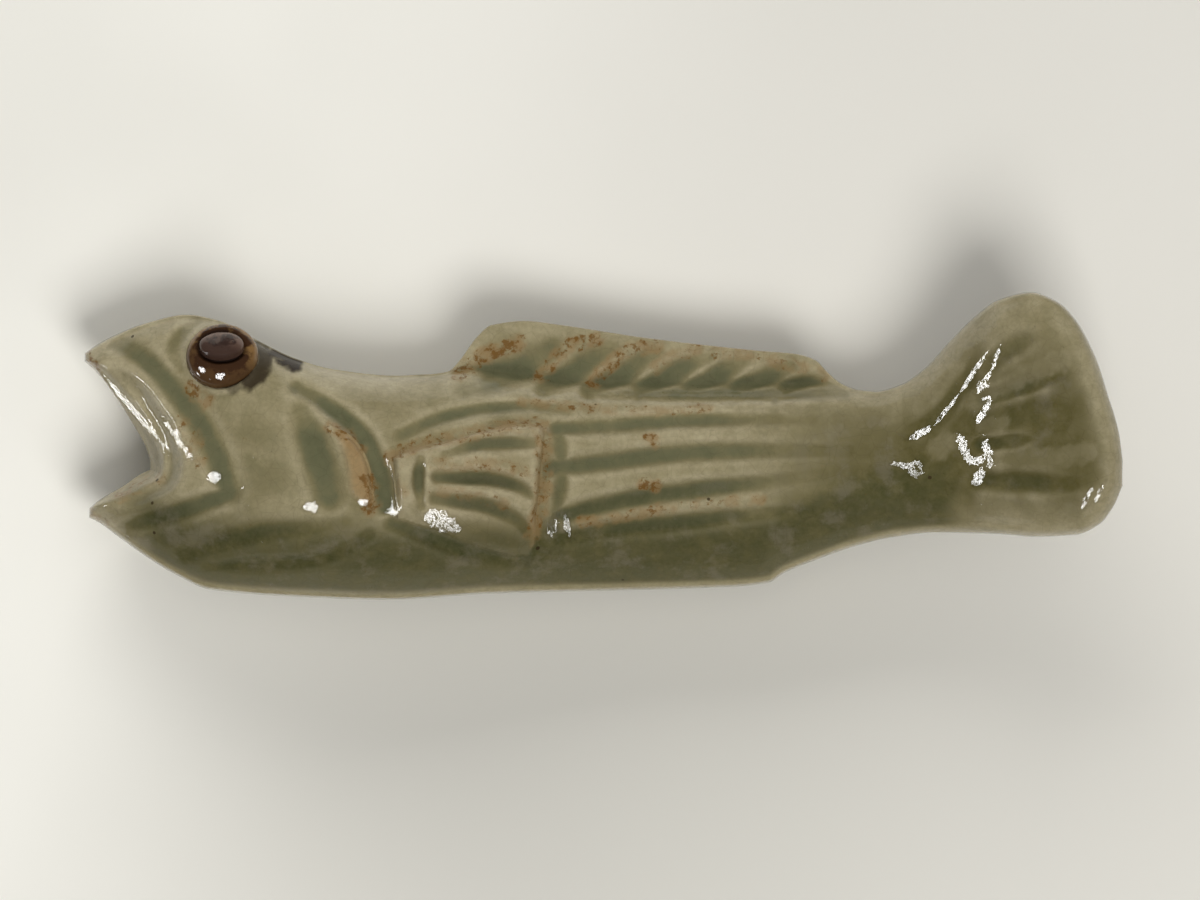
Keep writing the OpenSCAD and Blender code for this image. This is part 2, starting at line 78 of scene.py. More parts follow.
# Outline: share of the length from the snout, share of the breadth from the belly
outline = dict(
    back=[
        (0, 0.815), (0.009, 0.838), (0.024, 0.868), (0.06, 0.917), (0.099, 0.945), (0.132, 0.924),
        (0.166, 0.863), (0.205, 0.798), (0.244, 0.761), (0.302, 0.742), (0.335, 0.747), (0.5, 0.69),
        (0.74, 0.688), (0.766, 0.69), (0.79, 0.711), (0.814, 0.766), (0.834, 0.84), (0.86, 0.928),
        (0.882, 0.979), (0.911, 1), (0.935, 0.971), (0.954, 0.909), (0.974, 0.78), (0.986, 0.655),
        (0.996, 0.54), (1, 0.445)],
    belly=[
        (0, 0.272), (0.013, 0.25), (0.021, 0.231), (0.06, 0.142), (0.089, 0.083), (0.123, 0.033),
        (0.205, 0.01), (0.292, 0), (0.398, 0.022), (0.495, 0.031), (0.631, 0.045), (0.663, 0.058),
        (0.678, 0.09), (0.708, 0.132), (0.747, 0.178), (0.785, 0.207), (0.824, 0.22), (0.882, 0.213),
        (0.921, 0.203), (0.957, 0.208), (0.979, 0.242), (0.992, 0.3), (1, 0.365)],
    crest=[
        (0.335, 0.747), (0.352, 0.756), (0.364, 0.797), (0.379, 0.868), (0.394, 0.911), (0.427, 0.926),
        (0.456, 0.916), (0.543, 0.872), (0.65, 0.83), (0.689, 0.818), (0.708, 0.798), (0.722, 0.75),
        (0.735, 0.715), (0.75, 0.696), (0.766, 0.69)],
    upperLip=[(0, 0.79), (0.012, 0.752), (0.031, 0.667), (0.05, 0.568), (0.06, 0.508), (0.065, 0.457)],
    lowerLip=[(0, 0.3), (0.011, 0.33), (0.036, 0.376), (0.055, 0.414), (0.065, 0.429)],
    behindMouth=[(0.065, 0.395), (0.2, 0.5), (1, 0.5)],
    fullness=[(0, 3), (0.2, 2.6), (0.4, 2.2), (0.72, 2.3), (0.85, 4), (1, 6)],
    mouth=0.065,
    jaw=0.005,
    fin=(0.335, 0.766),
    finEnds=0.05,  # share of the length over which the fin's root comes and goes
    wrist=0.79,
)
# Two-step wall of the mouth at its corner: height of each part, and where it ends or starts on the slope
mouthWall = dict(
    foot=0.2, lower=0.52, lowerEnds=0.42, upper=0.28, upperStarts=0.5, past=2.2 * outline["mouth"])
crown = [
    (0, fish["snoutHeight"]), (0.1, (fish["snoutHeight"] + fish["gillHeight"]) / 2),
    (0.22, fish["gillHeight"]), (0.56, fish["flankHeight"]), (0.68, fish["flankHeight"]),
    (outline["wrist"], fish["wristHeight"]),
    (0.85, 0.76 * fish["wristHeight"] + 0.24 * fish["tailHeight"]),
    (0.885, 0.4 * fish["wristHeight"] + 0.6 * fish["tailHeight"]), (1, fish["tailHeight"])]
under = [
    (0, fish["snoutLift"]), (0.2, fish["footWipe"] / 4), (0.36, -fish["footWipe"]), (0.6, -fish["footWipe"]),
    (0.7, fish["footWipe"] / 2), (outline["wrist"], fish["wristLift"]), (1, fish["tailLift"])]

# Grooves: share of the width, share of the depth, shares of the depth left at both ends, points in shares
grooves = [
    # along the lips, and round the front of the eye
    (1.25, 1.1, (0.8, 1), [
        (0.025, 0.87), (0.056, 0.8), (0.087, 0.69), (0.118, 0.555), (0.135, 0.44), (0.144, 0.345)]),
    (0.95, 1.1, (1, 0.8), [(0.141, 0.335), (0.12, 0.307), (0.086, 0.274), (0.052, 0.245), (0.036, 0.222)]),
    (0.75, 0.6, (0.5, 0.5), [(0.11, 0.91), (0.095, 0.868), (0.088, 0.812), (0.094, 0.746)]),
    # before and behind the gill plate, under the cheek and under the throat
    (1.6, 1.3, (0.5, 0.8), [(0.215, 0.61), (0.226, 0.492), (0.234, 0.406), (0.24, 0.33)]),
    (1, 1.3, (0.6, 0.8), [
        (0.209, 0.687), (0.231, 0.642), (0.254, 0.585), (0.273, 0.522), (0.285, 0.442), (0.292, 0.347),
        (0.294, 0.297)]),
    (1.05, 0.9, (0.7, 0.2), [(0.101, 0.144), (0.135, 0.179), (0.178, 0.212), (0.222, 0.224), (0.256, 0.244)]),
    (0.75, 0.8, (0.4, 0.5), [(0.123, 0.108), (0.185, 0.11), (0.226, 0.122), (0.257, 0.158), (0.279, 0.205)]),
    # above, behind and under the pectoral fin
    (0.75, 0.9, (0.6, 0.4), [(0.308, 0.528), (0.342, 0.582), (0.39, 0.622), (0.43, 0.63), (0.468, 0.617)]),
    (0.75, 0.7, (0.8, 0.8), [(0.46, 0.565), (0.463, 0.419), (0.457, 0.23)]),
    (0.85, 0.9, (0.7, 0.5), [(0.3, 0.24), (0.341, 0.19), (0.383, 0.138), (0.427, 0.12)]),
    # four flutes along the flank, and the long hollow above the belly
    (0.8, 0.9, (0.9, 0.1), [(0.458, 0.555), (0.518, 0.568), (0.584, 0.584), (0.651, 0.588), (0.704, 0.584)]),
    (0.95, 1, (0.95, 0.1), [
        (0.457, 0.426), (0.485, 0.436), (0.534, 0.459), (0.583, 0.477), (0.65, 0.484), (0.738, 0.482)]),
    (0.95, 1.05, (0.95, 0.1), [
        (0.464, 0.27), (0.502, 0.302), (0.551, 0.336), (0.602, 0.357), (0.651, 0.376), (0.714, 0.405)]),
    (0.85, 1, (0.6, 0.1), [
        (0.462, 0.195), (0.516, 0.228), (0.566, 0.244), (0.616, 0.264), (0.665, 0.28), (0.702, 0.288)]),
    (1.2, 0.4, (0.2, 0.2), [(0.407, 0.07), (0.527, 0.085), (0.667, 0.11)]),
    # between the rays of the dorsal fin, and along its root
    (1.6, 1.1, (0.6, 0.6), [(0.371, 0.685), (0.401, 0.725), (0.426, 0.77), (0.451, 0.825)]),
    (1.15, 1, (0.7, 0.6), [(0.445, 0.692), (0.476, 0.762), (0.511, 0.84)]),
    (1.1, 1, (0.7, 0.6), [(0.489, 0.686), (0.52, 0.746), (0.556, 0.83)]),
    (1.15, 1, (0.8, 0.6), [(0.538, 0.68), (0.57, 0.748), (0.605, 0.81)]),
    (1.1, 1, (0.8, 0.6), [(0.582, 0.68), (0.61, 0.739), (0.641, 0.8)]),
    (1.05, 1, (0.8, 0.6), [(0.625, 0.676), (0.65, 0.721), (0.682, 0.777)]),
    (0.85, 0.9, (0.8, 0.6), [(0.668, 0.67), (0.687, 0.703), (0.711, 0.73)]),
    (0.8, 1, (0.5, 0.6), [(0.5, 0.678), (0.592, 0.676), (0.669, 0.676), (0.735, 0.68)]),
    # the crease where the tail leaves the wrist, and between the rays of the tail
    (0.9, 0.5, (0.2, 0.3), [(0.787, 0.522), (0.821, 0.59), (0.85, 0.727), (0.863, 0.81)]),
    (1.5, 0.3, (0.2, 0.2), [(0.73, 0.4), (0.78, 0.365), (0.83, 0.335)]),
    (0.95, 0.7, (0.8, 0.1), [(0.873, 0.765), (0.893, 0.816), (0.92, 0.856)]),
    (0.9, 0.8, (0.9, 0.1), [(0.866, 0.64), (0.893, 0.67), (0.94, 0.722)]),
    (2, 0.6, (0.8, 0.1), [(0.867, 0.585), (0.905, 0.59), (0.955, 0.595)]),
    (0.75, 0.8, (0.9, 0.1), [(0.864, 0.5), (0.893, 0.512), (0.92, 0.527)]),
    (1, 0.8, (0.9, 0.1), [(0.864, 0.384), (0.895, 0.377), (0.962, 0.363)]),
]

# Pectoral fin laid on the flank: lower and upper edge from the shoulder to the trailing edge
pectoral = dict(
    low=[
        (0.306, 0.255), (0.324, 0.232), (0.344, 0.215), (0.369, 0.182), (0.394, 0.152), (0.413, 0.136),
        (0.429, 0.136), (0.438, 0.174)],
    high=[
        (0.299, 0.459), (0.314, 0.485), (0.334, 0.501), (0.363, 0.525), (0.392, 0.554), (0.416, 0.577),
        (0.44, 0.577), (0.449, 0.554)],
    grooves=[
        (0.6, 0.9, (0.4, 0.4), [(0.328, 0.452), (0.326, 0.372), (0.329, 0.297)]),
        (0.8, 1, (0.3, 0.6), [(0.352, 0.468), (0.389, 0.504), (0.439, 0.506)]),
        (0.75, 1.1, (0.6, 0.5), [(0.344, 0.388), (0.386, 0.387), (0.419, 0.364), (0.437, 0.328)]),
        (0.85, 0.9, (0.6, 0.6), [(0.342, 0.318), (0.384, 0.302), (0.417, 0.258), (0.432, 0.22)])],
    rise=0.95 * mm,
    seat=0.6 * mm,
    soft=0.6 * mm,  # width over which its edge turns down
    corner=0.24 * mm,  # height of the glaze in the corner beside it
    fade=2.6 * mm,  # it thins towards the belly over this width
    thinned=0.45,
    grid=(110, 100),  # faces along it and across it
    # places on it where thick glaze mirrors a tube, as below
    settled=[
        (0.3404, 0.2607, 1.9, 1.1, -30, 0),
        (0.333, 0.277, 1.2, 0.8, 20, 0),
        (0.351, 0.247, 1.2, 0.6, -30, 0)],
)

# Gill plate, a crescent that rises to a sharp rear edge: inner and outer edge from top to bottom
gill = dict(
    low=[
        (0.238, 0.552), (0.245, 0.506), (0.25, 0.457), (0.254, 0.404), (0.256, 0.353), (0.262, 0.312),
        (0.271, 0.29)],
    high=[
        (0.242, 0.559), (0.258, 0.535), (0.271, 0.489), (0.279, 0.434), (0.283, 0.37), (0.284, 0.318),
        (0.279, 0.287)],
    grooves=[],
    rise=0.7 * mm,
    seat=0.6 * mm,
    soft=0.5 * mm,
    corner=0.08 * mm,
    thinEdge=0.15,  # share of the rise left at its inner edge
    grid=(90, 40),
    settled=[(0.2646, 0.3208, 0.6, 0.45, 0, 0), (0.24, 0.54, 1.2, 0.8, -60, 2)],
)

# Glaze in the corner between an applied piece and the body; the edge that shows is inset from the clay's
meniscus = dict(width=0.7 * mm, inset=0.2 * mm, under=0.15 * mm, sunk=0.3 * mm, within=0.3 * mm, slope=0.15)

# Eyeball and pupil: pellets whose axes lean to the back of the fish
eye = dict(
    place=(0.1366, 0.793),
    radius=3.1 * mm,
    rise=1.3 * mm,
    depth=1 * mm,
    lean=28,
    squash=1,  # breadth over length
    corner=0.28 * mm,  # height of the glaze in the corner round it
    moat=0.3 * mm,
    moatWidth=0.28 * mm,
    beads=[(-0.75 * mm, -2 * mm, 0.4 * mm, 0.1 * mm)],  # drops of glaze: place, half width and height
    settled=[(0.1275, 0.736, 0.6, 0.45, 10, 0), (0.11, 0.757, 0.5, 0.26, -40, 0)],
)
pupil = dict(
    radius=1.9 * mm, rise=0.5 * mm, depth=0.5 * mm, lean=16, squash=0.8, beads=[], settled=[])
pressed = dict(
    shoulder=0.85,  # powers of the dome's profile
    crown=0.8,
    dents=(3 * mm, 0.05 * mm),  # length and height
    oval=(0.012, 0.6),  # share by which it is out of round, and the angle of that
    triangular=(0.008, 2),
    run=(0.45, 0.35),  # how far the glaze has run down, and how much to one side
    steps=(52, 7, 8),  # over the dome, down the side and in under the base
    turns=120,
)

# Where the fired glaze changes, and where a sheen is painted: half width, strength, and points in shares
marks = dict(
    ragged=(1.3 * mm, 0.4),  # length of the waves in a mark's edge, and their height in half widths
    cloudedAndSheen=[
        # pale grey patches on the wrist and between the rays of the tail: partly cloudy glaze, partly a
        # painted sheen round the highlights
        (0.65 * mm, 0.42, [(0.825, 0.49), (0.832, 0.51)]),
        (0.6 * mm, 0.42, [(0.857, 0.64), (0.882, 0.69), (0.91, 0.73), (0.94, 0.77)]),
        (0.4 * mm, 0.3, [(0.866, 0.56), (0.885, 0.57)]),
        (0.6 * mm, 0.3, [(0.885, 0.45), (0.93, 0.45), (0.965, 0.47)])],
    damp=[
        # on the cheek and under the gill plate
        (2.2 * mm, 0.24, [(0.15, 0.52), (0.165, 0.46), (0.2, 0.42)]),
        (1.1 * mm, 0.36, [(0.166, 0.41), (0.19, 0.39)]),
        (1.4 * mm, 0.25, [(0.3, 0.14), (0.36, 0.08)])],
    halo=[
        (0.5 * mm, 0.9, [(0.172, 0.835), (0.178, 0.79), (0.175, 0.745), (0.163, 0.705)]),
        (0.5 * mm, 1, [(0.188, 0.815), (0.196, 0.79), (0.206, 0.77)]),
        (0.45 * mm, 0.6, [(0.146, 0.69), (0.163, 0.705)])],
    rust=[
        # edges and rays of the pectoral fin
        (0.45 * mm, 1, [
            (0.3, 0.456), (0.329, 0.502), (0.353, 0.517), (0.374, 0.53), (0.401, 0.555), (0.433, 0.567),
            (0.443, 0.56)]),
        (0.5 * mm, 1, [(0.444, 0.557), (0.446, 0.409), (0.441, 0.277), (0.434, 0.215)]),
        (0.4 * mm, 0.75, [(0.34, 0.435), (0.382, 0.432), (0.433, 0.416)]),
        (0.35 * mm, 0.7, [(0.34, 0.348), (0.372, 0.334), (0.408, 0.302)]),
        (0.4 * mm, 0.6, [(0.303, 0.46), (0.306, 0.4), (0.311, 0.34)]),
        # rays and crest of the dorsal fin
        (0.5 * mm, 1.2, [(0.364, 0.745), (0.379, 0.79), (0.4, 0.823), (0.421, 0.848)]),
        (0.45 * mm, 1.1, [(0.441, 0.734), (0.456, 0.795), (0.472, 0.842), (0.497, 0.86)]),
        (0.45 * mm, 1.1, [(0.492, 0.716), (0.513, 0.787), (0.531, 0.828), (0.555, 0.842)]),
        (0.4 * mm, 0.8, [(0.553, 0.765), (0.568, 0.8), (0.593, 0.83)]),
        (0.4 * mm, 0.85, [(0.611, 0.815), (0.645, 0.812), (0.67, 0.787), (0.695, 0.765)]),
        (0.35 * mm, 0.8, [(0.705, 0.76), (0.717, 0.735)]),
        # gill plate
        (0.4 * mm, 1.1, [(0.242, 0.556), (0.258, 0.526), (0.27, 0.48)]),
        (0.5 * mm, 1.2, [(0.277, 0.385), (0.282, 0.33), (0.28, 0.292)]),
        # ridges between the flutes
        (0.35 * mm, 0.85, [(0.499, 0.25), (0.547, 0.285), (0.596, 0.308), (0.654, 0.325)]),
        (0.3 * mm, 0.8, [(0.424, 0.645), (0.484, 0.626), (0.549, 0.616), (0.604, 0.628)]),
        (0.4 * mm, 1.1, [(0.546, 0.522), (0.552, 0.512)]),
        (0.4 * mm, 1.2, [(0.541, 0.378), (0.553, 0.368)]),
        (0.35 * mm, 1, [(0.481, 0.25), (0.491, 0.254)]),
        # lips and cheek
        (0.5 * mm, 1.1, [(0.107, 0.68), (0.122, 0.645)]),
        (0.45 * mm, 0.9, [(0.038, 0.335), (0.058, 0.37), (0.076, 0.392)]),
        (0.55 * mm, 0.85, [(0.098, 0.57), (0.11, 0.51), (0.114, 0.45)]),
        (0.4 * mm, 1, [(0, 0.82), (0.004, 0.79), (0.012, 0.76)]),
        (0.4 * mm, 0.9, [(0.006, 0.29), (0.008, 0.27), (0.02, 0.25)])],
)

# A pair of thin tubes beside the table, which the glaze mirrors, and where the rest is looked at from
tubes = np.array([(-1.2, -0.33, 0.42), (-1.14, -0.33, 0.52)])
viewer = np.array((0, -0.03, 0.62))

# How thick glaze sets
setting = dict(
    full=0.65,  # share of a place's size up to which it is full
    easing=0.3,  # and over which it then eases off
    waves=[(1.1 * mm, 0.2), (0.5 * mm, 0.12)],  # length and height of the waves in its edge
    smoothed=0.7,  # strength where it is only smoothed
    upward=0.2,  # least slant of a face that takes part
    shift=(0.009, -0.014),  # how far a place looks to lie from where it is
    shifted=(0.1, 1.1),  # shares of the length over which the first of these fades, as the fish gets lower
)
# Places where it mirrors a tube: centre in shares, half sizes in mm along and across, turn in degrees, and
# 0 for the first tube, 1 for the second or 2 for a place that is only smoothed and mirrors neither
settled = [
    # wrist and crease of the tail
    (0.8, 0.435, 1.1, 1, 60, 0),
    (0.787, 0.449, 1.3, 0.45, -12, 0),
    (0.8044, 0.5528, 1.7, 0.5, 26, 0),
    (0.8285, 0.6218, 2.2, 0.26, 50, 0),
    (0.8545, 0.7426, 3, 0.24, 57, 0),
    (0.8772, 0.7987, 2, 0.26, 69, 1),
    (0.8642, 0.708, 1.6, 0.26, 58, 1),
    (0.8643, 0.6155, 1.7, 0.36, 61, 1),
    # roots of the rays
    (0.8466, 0.505, 2, 0.6, -70, 0),
    (0.869, 0.4835, 1.6, 0.55, -80, 1),
    (0.8588, 0.462, 1.4, 0.45, 10, 1),
    (0.8602, 0.407, 1.1, 0.8, 60, 1),
    # corner of the tail
    (0.9645, 0.342, 1.5, 0.27, 63, 0),
    (0.976, 0.354, 1.6, 0.27, 65, 1),
    # upper lip
    (0.0416, 0.632, 5.8, 0.42, -49, 0),
    (0.0861, 0.531, 3.2, 0.42, -54, 1),
    # groove behind the lips
    (0.092, 0.69, 3.4, 1.1, -50, 2),
    (0.118, 0.578, 3.2, 1.1, -56, 2),
    (0.136, 0.45, 3, 1.1, -75, 2),
    (0.05, 0.25, 1.8, 1, 15, 2),
    # corner of the mouth, foot of the gill hollow, shoulder of the pectoral fin and behind its tip
    (0.1207, 0.4053, 0.9, 0.75, 20, 0),
    (0.2151, 0.305, 0.9, 0.7, 0, 0),
    (0.293, 0.292, 1.1, 0.45, 0, 0),
    (0.4475, 0.2525, 1.5, 0.62, 78, 0),
    (0.4615, 0.2525, 1.5, 0.5, 100, 1),
]


def clamp(u):
    return np.clip(u, 0, 1)


def ease(u):  # cubic that starts and ends level
    c = clamp(u)
    return c * c * (3 - 2 * c)


def rising(u, first, last):  # 0 up to the first level, 1 from the last, eased between them
    return ease((u - first) / (last - first))


def mix(a, b, u):
    return a + (b - a) * u


def quarter(u):  # quarter circle, 0 at the edge and 1 where the rounding ends
    return np.sqrt(1 - (1 - clamp(u)) ** 2)


def blendMax(a, b, width):  # the greater height, with a fillet of this width where they meet
    h = np.maximum(width - np.abs(a - b), 0) / width
    return np.maximum(a, b) + h * h * width / 4


def curve(table, x):
    # cubic through the points, whose slopes are harmonic means, so that it never overshoots
    t = np.asarray(table, dtype=float)
    steep = np.diff(t[:, 1]) / np.diff(t[:, 0])
    a, b = steep[:-1], steep[1:]
    middle = np.where(a * b > 0, 2 * a * b / np.where(a + b == 0, 1, a + b), 0)
    slope = np.concatenate((steep[:1], middle, steep[-1:]))
    k = np.clip(np.searchsorted(t[:, 0], x, side="right") - 1, 0, len(t) - 2)
    h = t[k + 1, 0] - t[k, 0]
    u = clamp((x - t[k, 0]) / h)
    ends = t[k, 1] * (1 + 2 * u) * (1 - u) ** 2 + t[k + 1, 1] * u * u * (3 - 2 * u)
    return ends + h * u * (1 - u) * (slope[k] * (1 - u) - slope[k + 1] * u)


def place(shares):  # shares of the length and the breadth, as metres on the table
    return (np.asarray(shares, dtype=float) - 0.5) * (fish["length"], fish["breadth"])


def shareAlong(x):
    return x / fish["length"] + 0.5


def smoothLine(shares, steps=24):  # the same cubic through both coordinates of the points
    p = place(shares)
    at = np.arange(len(p))
    t = np.linspace(0, len(p) - 1, steps)
    return np.stack([curve(np.stack((at, p[:, k]), 1), t) for k in (0, 1)], 1)


def nearLine(x, y, line, reach):
    # distance to a line of points, at most the reach, and the share along it of the nearest place
    away = np.full(x.shape, float(reach))
    along = np.zeros(x.shape)
    step = np.hypot(*np.diff(line, axis=0).T)
    share = step / step.sum()
    before = np.cumsum(share) - share
    for a, b, first, span in zip(line[:-1], line[1:], before, share):
        near = (x > min(a[0], b[0]) - reach) & (x < max(a[0], b[0]) + reach)
        px, py = x[near] - a[0], y[near] - a[1]
        d = b - a
        t = clamp((px * d[0] + py * d[1]) / (d @ d))
        gap = np.hypot(px - t * d[0], py - t * d[1])
        closer = gap < away[near]
        away[near] = np.where(closer, gap, away[near])
        along[near] = np.where(closer, first + t * span, along[near])
    return away, along


def within(x, y, ring):  # True inside the ring of points, by the count of edges crossed
    inside = np.zeros(x.shape, dtype=bool)
    for a, b in zip(ring, np.roll(ring, -1, axis=0)):
        if a[1] != b[1]:
            inside ^= ((a[1] > y) != (b[1] > y)) & (x < (b[0] - a[0]) * (y - a[1]) / (b[1] - a[1]) + a[0])
    return inside


def valley(x, y, lines):
    # depth of the deepest groove: level floor, then eased up to its rim;
    # it deepens and widens over the first third of its line, and fades and narrows over the last half
    deep = np.zeros(x.shape)
    for width, depth, (first, last), points in lines:
        half = width * fish["grooveWidth"] / 2
        away, along = nearLine(x, y, smoothLine(points), half)
        part = mix(first, 1, ease(3 * along)) * mix(1, last, ease(2 * along - 1))
        wide = half * mix(fish["grooveNarrow"], 1, part)
        rim = ease((away / wide - fish["grooveFloor"]) / (1 - fish["grooveFloor"]))
        deep = np.maximum(deep, part * depth * fish["grooveDepth"] * (1 - rim))
    return deep


def slowWaves(x, y, length, height, count=6, angle=2.4, shorter=0.83, phase=1.7):
    # crossing sine waves, each turned by the golden angle and shorter and lower than the last
    total = 0
    for k in range(count):
        turn, wave = angle * k, 2 * np.pi / (length * shorter**k)
        total = total + shorter**k * np.sin(wave * (x * np.cos(turn) + y * np.sin(turn)) + phase * k)
    return 2 * total * height / count


# Columns of the clay along the fish, and its outline on the table
columns = dict(jaw=40, head=123, fin=196, wrist=11, tail=110, tailCrowding=0.6)
jawSpan = np.linspace(0, outline["mouth"], columns["jaw"] + 1)
spans = [
    np.linspace(outline["mouth"], outline["fin"][0], columns["head"] + 1),
    np.linspace(outline["fin"][0], outline["fin"][1], columns["fin"] + 1),
    np.linspace(outline["fin"][1], outline["wrist"], columns["wrist"] + 1)]
even = np.linspace(0, 1, columns["tail"] + 1)  # the tail's columns crowd towards its end
tailSpan = mix(outline["wrist"], 1, mix(even, np.sin(even * np.pi / 2), columns["tailCrowding"]))
span = np.concatenate([jawSpan] + [s[1:] for s in spans] + [tailSpan[1:]])
inFin = (span > outline["fin"][0]) & (span < outline["fin"][1])
bellyEdge = curve(outline["belly"], span)
backEdge = curve(outline["back"], span)
crestEdge = np.where(inFin, curve(outline["crest"], span), backEdge)
jaws = span < outline["mouth"] - touching
lowerSpan = np.where(jaws, mix(outline["jaw"], outline["mouth"], span / outline["mouth"]), span)
upperLip = np.stack((jawSpan, curve(outline["upperLip"], jawSpan)), 1)
lowerJawSpan = mix(outline["jaw"], outline["mouth"], jawSpan / outline["mouth"])
lowerLip = np.stack((lowerJawSpan, curve(outline["lowerLip"], jawSpan)), 1)
outerLine = place(np.concatenate((
    upperLip[:1], np.stack((span, crestEdge), 1), np.stack((lowerSpan, bellyEdge), 1)[::-1], lowerLip[:1])))
mouthLine = place(np.concatenate((upperLip, lowerLip[::-1])))
fishRing = np.concatenate((outerLine, mouthLine[::-1][1:-1]))


def heights(s):  # top and underside of the plain fish, and its parting line
    top, low = curve(crown, s), curve(under, s)
    return top, low, mix(low, top, fish["parting"])


def alongFin(s):  # 1 along the dorsal fin, easing to 0 at its ends
    (first, last), part = outline["fin"], outline["finEnds"]
    return rising(s, first, first + part) * (1 - rising(s, last - part, last))


def swell(y, s):
    # rounded section across the fish: root of 1 less a power of the distance from its middle
    low = (curve(outline["belly"], s) - 0.5) * fish["breadth"]
    high = (curve(outline["back"], s) - 0.5) * fish["breadth"] + alongFin(s) * fish["root"] * fish["finRise"]
    q = clamp(np.abs(y - (low + high) / 2) / ((high - low) / 2))
    return np.sqrt(1 - q ** curve(outline["fullness"], s))


def edgeCap(x, y):
    # share of the height left by the rounded outline and, near the mouth, by its two-step wall
    s = shareAlong(x)
    wide = mix(fish["edgeRound"], fish["tailRound"], rising(s, outline["fin"][1], 1))
    outer = quarter(nearLine(x, y, outerLine, fish["edgeRound"])[0] / wide)
    corner = ease(s / outline["mouth"])
    slope = mix(fish["edgeRound"] / 2, fish["mouthSlope"], corner)
    d = nearLine(x, y, mouthLine, fish["mouthSlope"])[0] / slope
    wall = mouthWall["foot"] + mouthWall["lower"] * ease(d / mouthWall["lowerEnds"])
    wall = wall + mouthWall["upper"] * rising(d, mouthWall["upperStarts"], 1)
    inner = np.where(s > mouthWall["past"], 1, mix(quarter(d), wall, corner))
    return np.minimum(outer, inner)


def twist(x, y):  # the tail's upper lobe rises and its lower one sinks, once past the wrist
    part = ease((shareAlong(x) - outline["wrist"]) / fish["twist"])
    return fish["tailTwist"] * y / (fish["breadth"] / 2) * part


def plainTop(x, y, cap):  # the clay before any groove: height of its edge, and its rise above that
    s = shareAlong(x)
    top, _, parting = heights(s)
    full = top - parting
    body = blendMax(full * swell(y, s), np.minimum(fish["finRise"], full), fish["land"])
    rise = np.maximum(0, -blendMax(-body, -full * cap, fish["land"]))
    return parting + twist(x, y) + fish["land"] / 2, rise


def plainBase(x, y, cap):  # the same section upside down, wiped flat where it meets the table
    s = shareAlong(x)
    _, low, parting = heights(s)
    full = parting - low
    body = blendMax(full * swell(y, s), np.minimum(fish["finDrop"], full), fish["land"])
    return np.maximum(0, parting + twist(x, y) - fish["land"] / 2 - np.minimum(body, full * cap))


def insideBy(x, y, piece, reach):  # distance within the piece's edge, negative outside it
    ring = np.concatenate((smoothLine(piece["low"], steps=40), smoothLine(piece["high"], steps=40)[::-1]))
    away = nearLine(x, y, np.concatenate((ring, ring[:1])), reach)[0]
    return np.where(within(x, y, ring), away, -away)


def corner(height, depth):  # glaze that climbs to the edge of an applied piece, as the square of the nearness
    return height * clamp(1 + depth / meniscus["width"]) ** 2


def sunkCorner(height, depth):  # the same on the body, which dives once it is well under the piece
    sink = ease((depth - meniscus["under"]) / meniscus["within"])
    return mix(corner(height, np.minimum(depth, 0)), -meniscus["sunk"], sink)


def shoulder(piece, thick, depth):
    # the applied piece's own edge: quarter wave from the glaze corner up to its full thickness
    up = np.sin(clamp(depth / piece["soft"]) * np.pi / 2)
    outside = corner(piece["corner"], depth) + meniscus["slope"] * depth
    return np.where(depth < 0, outside, piece["corner"] + (thick - piece["corner"]) * up)


def pectoralRise(x, y, depth):
    # thinner towards the belly, with the hollows between its rays
    belly = nearLine(x, y, smoothLine(pectoral["low"]), pectoral["fade"])[0] / pectoral["fade"]
    thick = pectoral["rise"] * mix(pectoral["thinned"], 1, ease(belly))
    hollows = np.minimum(valley(x, y, pectoral["grooves"]), thick + pectoral["seat"] / 2)
    return shoulder(pectoral, thick, depth) - hollows * ease(depth / pectoral["soft"])


def gillRise(x, y, depth):
    # a wedge from the inner edge up to the outer one
    reach = 5 * mm  # wider than the plate
    fromInner = nearLine(x, y, smoothLine(gill["low"]), reach)[0]
    fromOuter = nearLine(x, y, smoothLine(gill["high"]), reach)[0]
    wedge = fromInner / np.maximum(fromInner + fromOuter, mm / 100)
    return shoulder(gill, gill["rise"] * mix(gill["thinEdge"], 1, wedge), depth)


def bodyTop(x, y, cap):
    # the plain clay with its grooves, waves and the glaze in the corners of the applied pieces
    base, rise = plainTop(x, y, cap)
    hollows = (1 - fish["filled"]) * valley(x, y, grooves)
    rise = rise - hollows * ease(rise / (2 * fish["grooveDepth"]))
    rise = rise + slowWaves(x, y, *fish["handmade"]) * ease(rise / fish["shallow"])
    onTail = rising(shareAlong(x), *fish["rippled"])
    rise = rise + slowWaves(x, y, *fish["ripple"]) * onTail * ease(rise / fish["shallow"])
    for piece in (pectoral, gill):
        depth = insideBy(x, y, piece, mm) - meniscus["inset"]
        rise = rise + sunkCorner(piece["corner"], depth) * ease(rise / mm)
    eyeX, eyeY = place(eye["place"])
    depth = eye["radius"] - np.hypot(x - eyeX, y - eyeY)
    rise = rise + sunkCorner(eye["corner"], depth) * ease(rise / mm)
    return base + np.maximum(0, rise)


print("outline of", len(span), "columns")

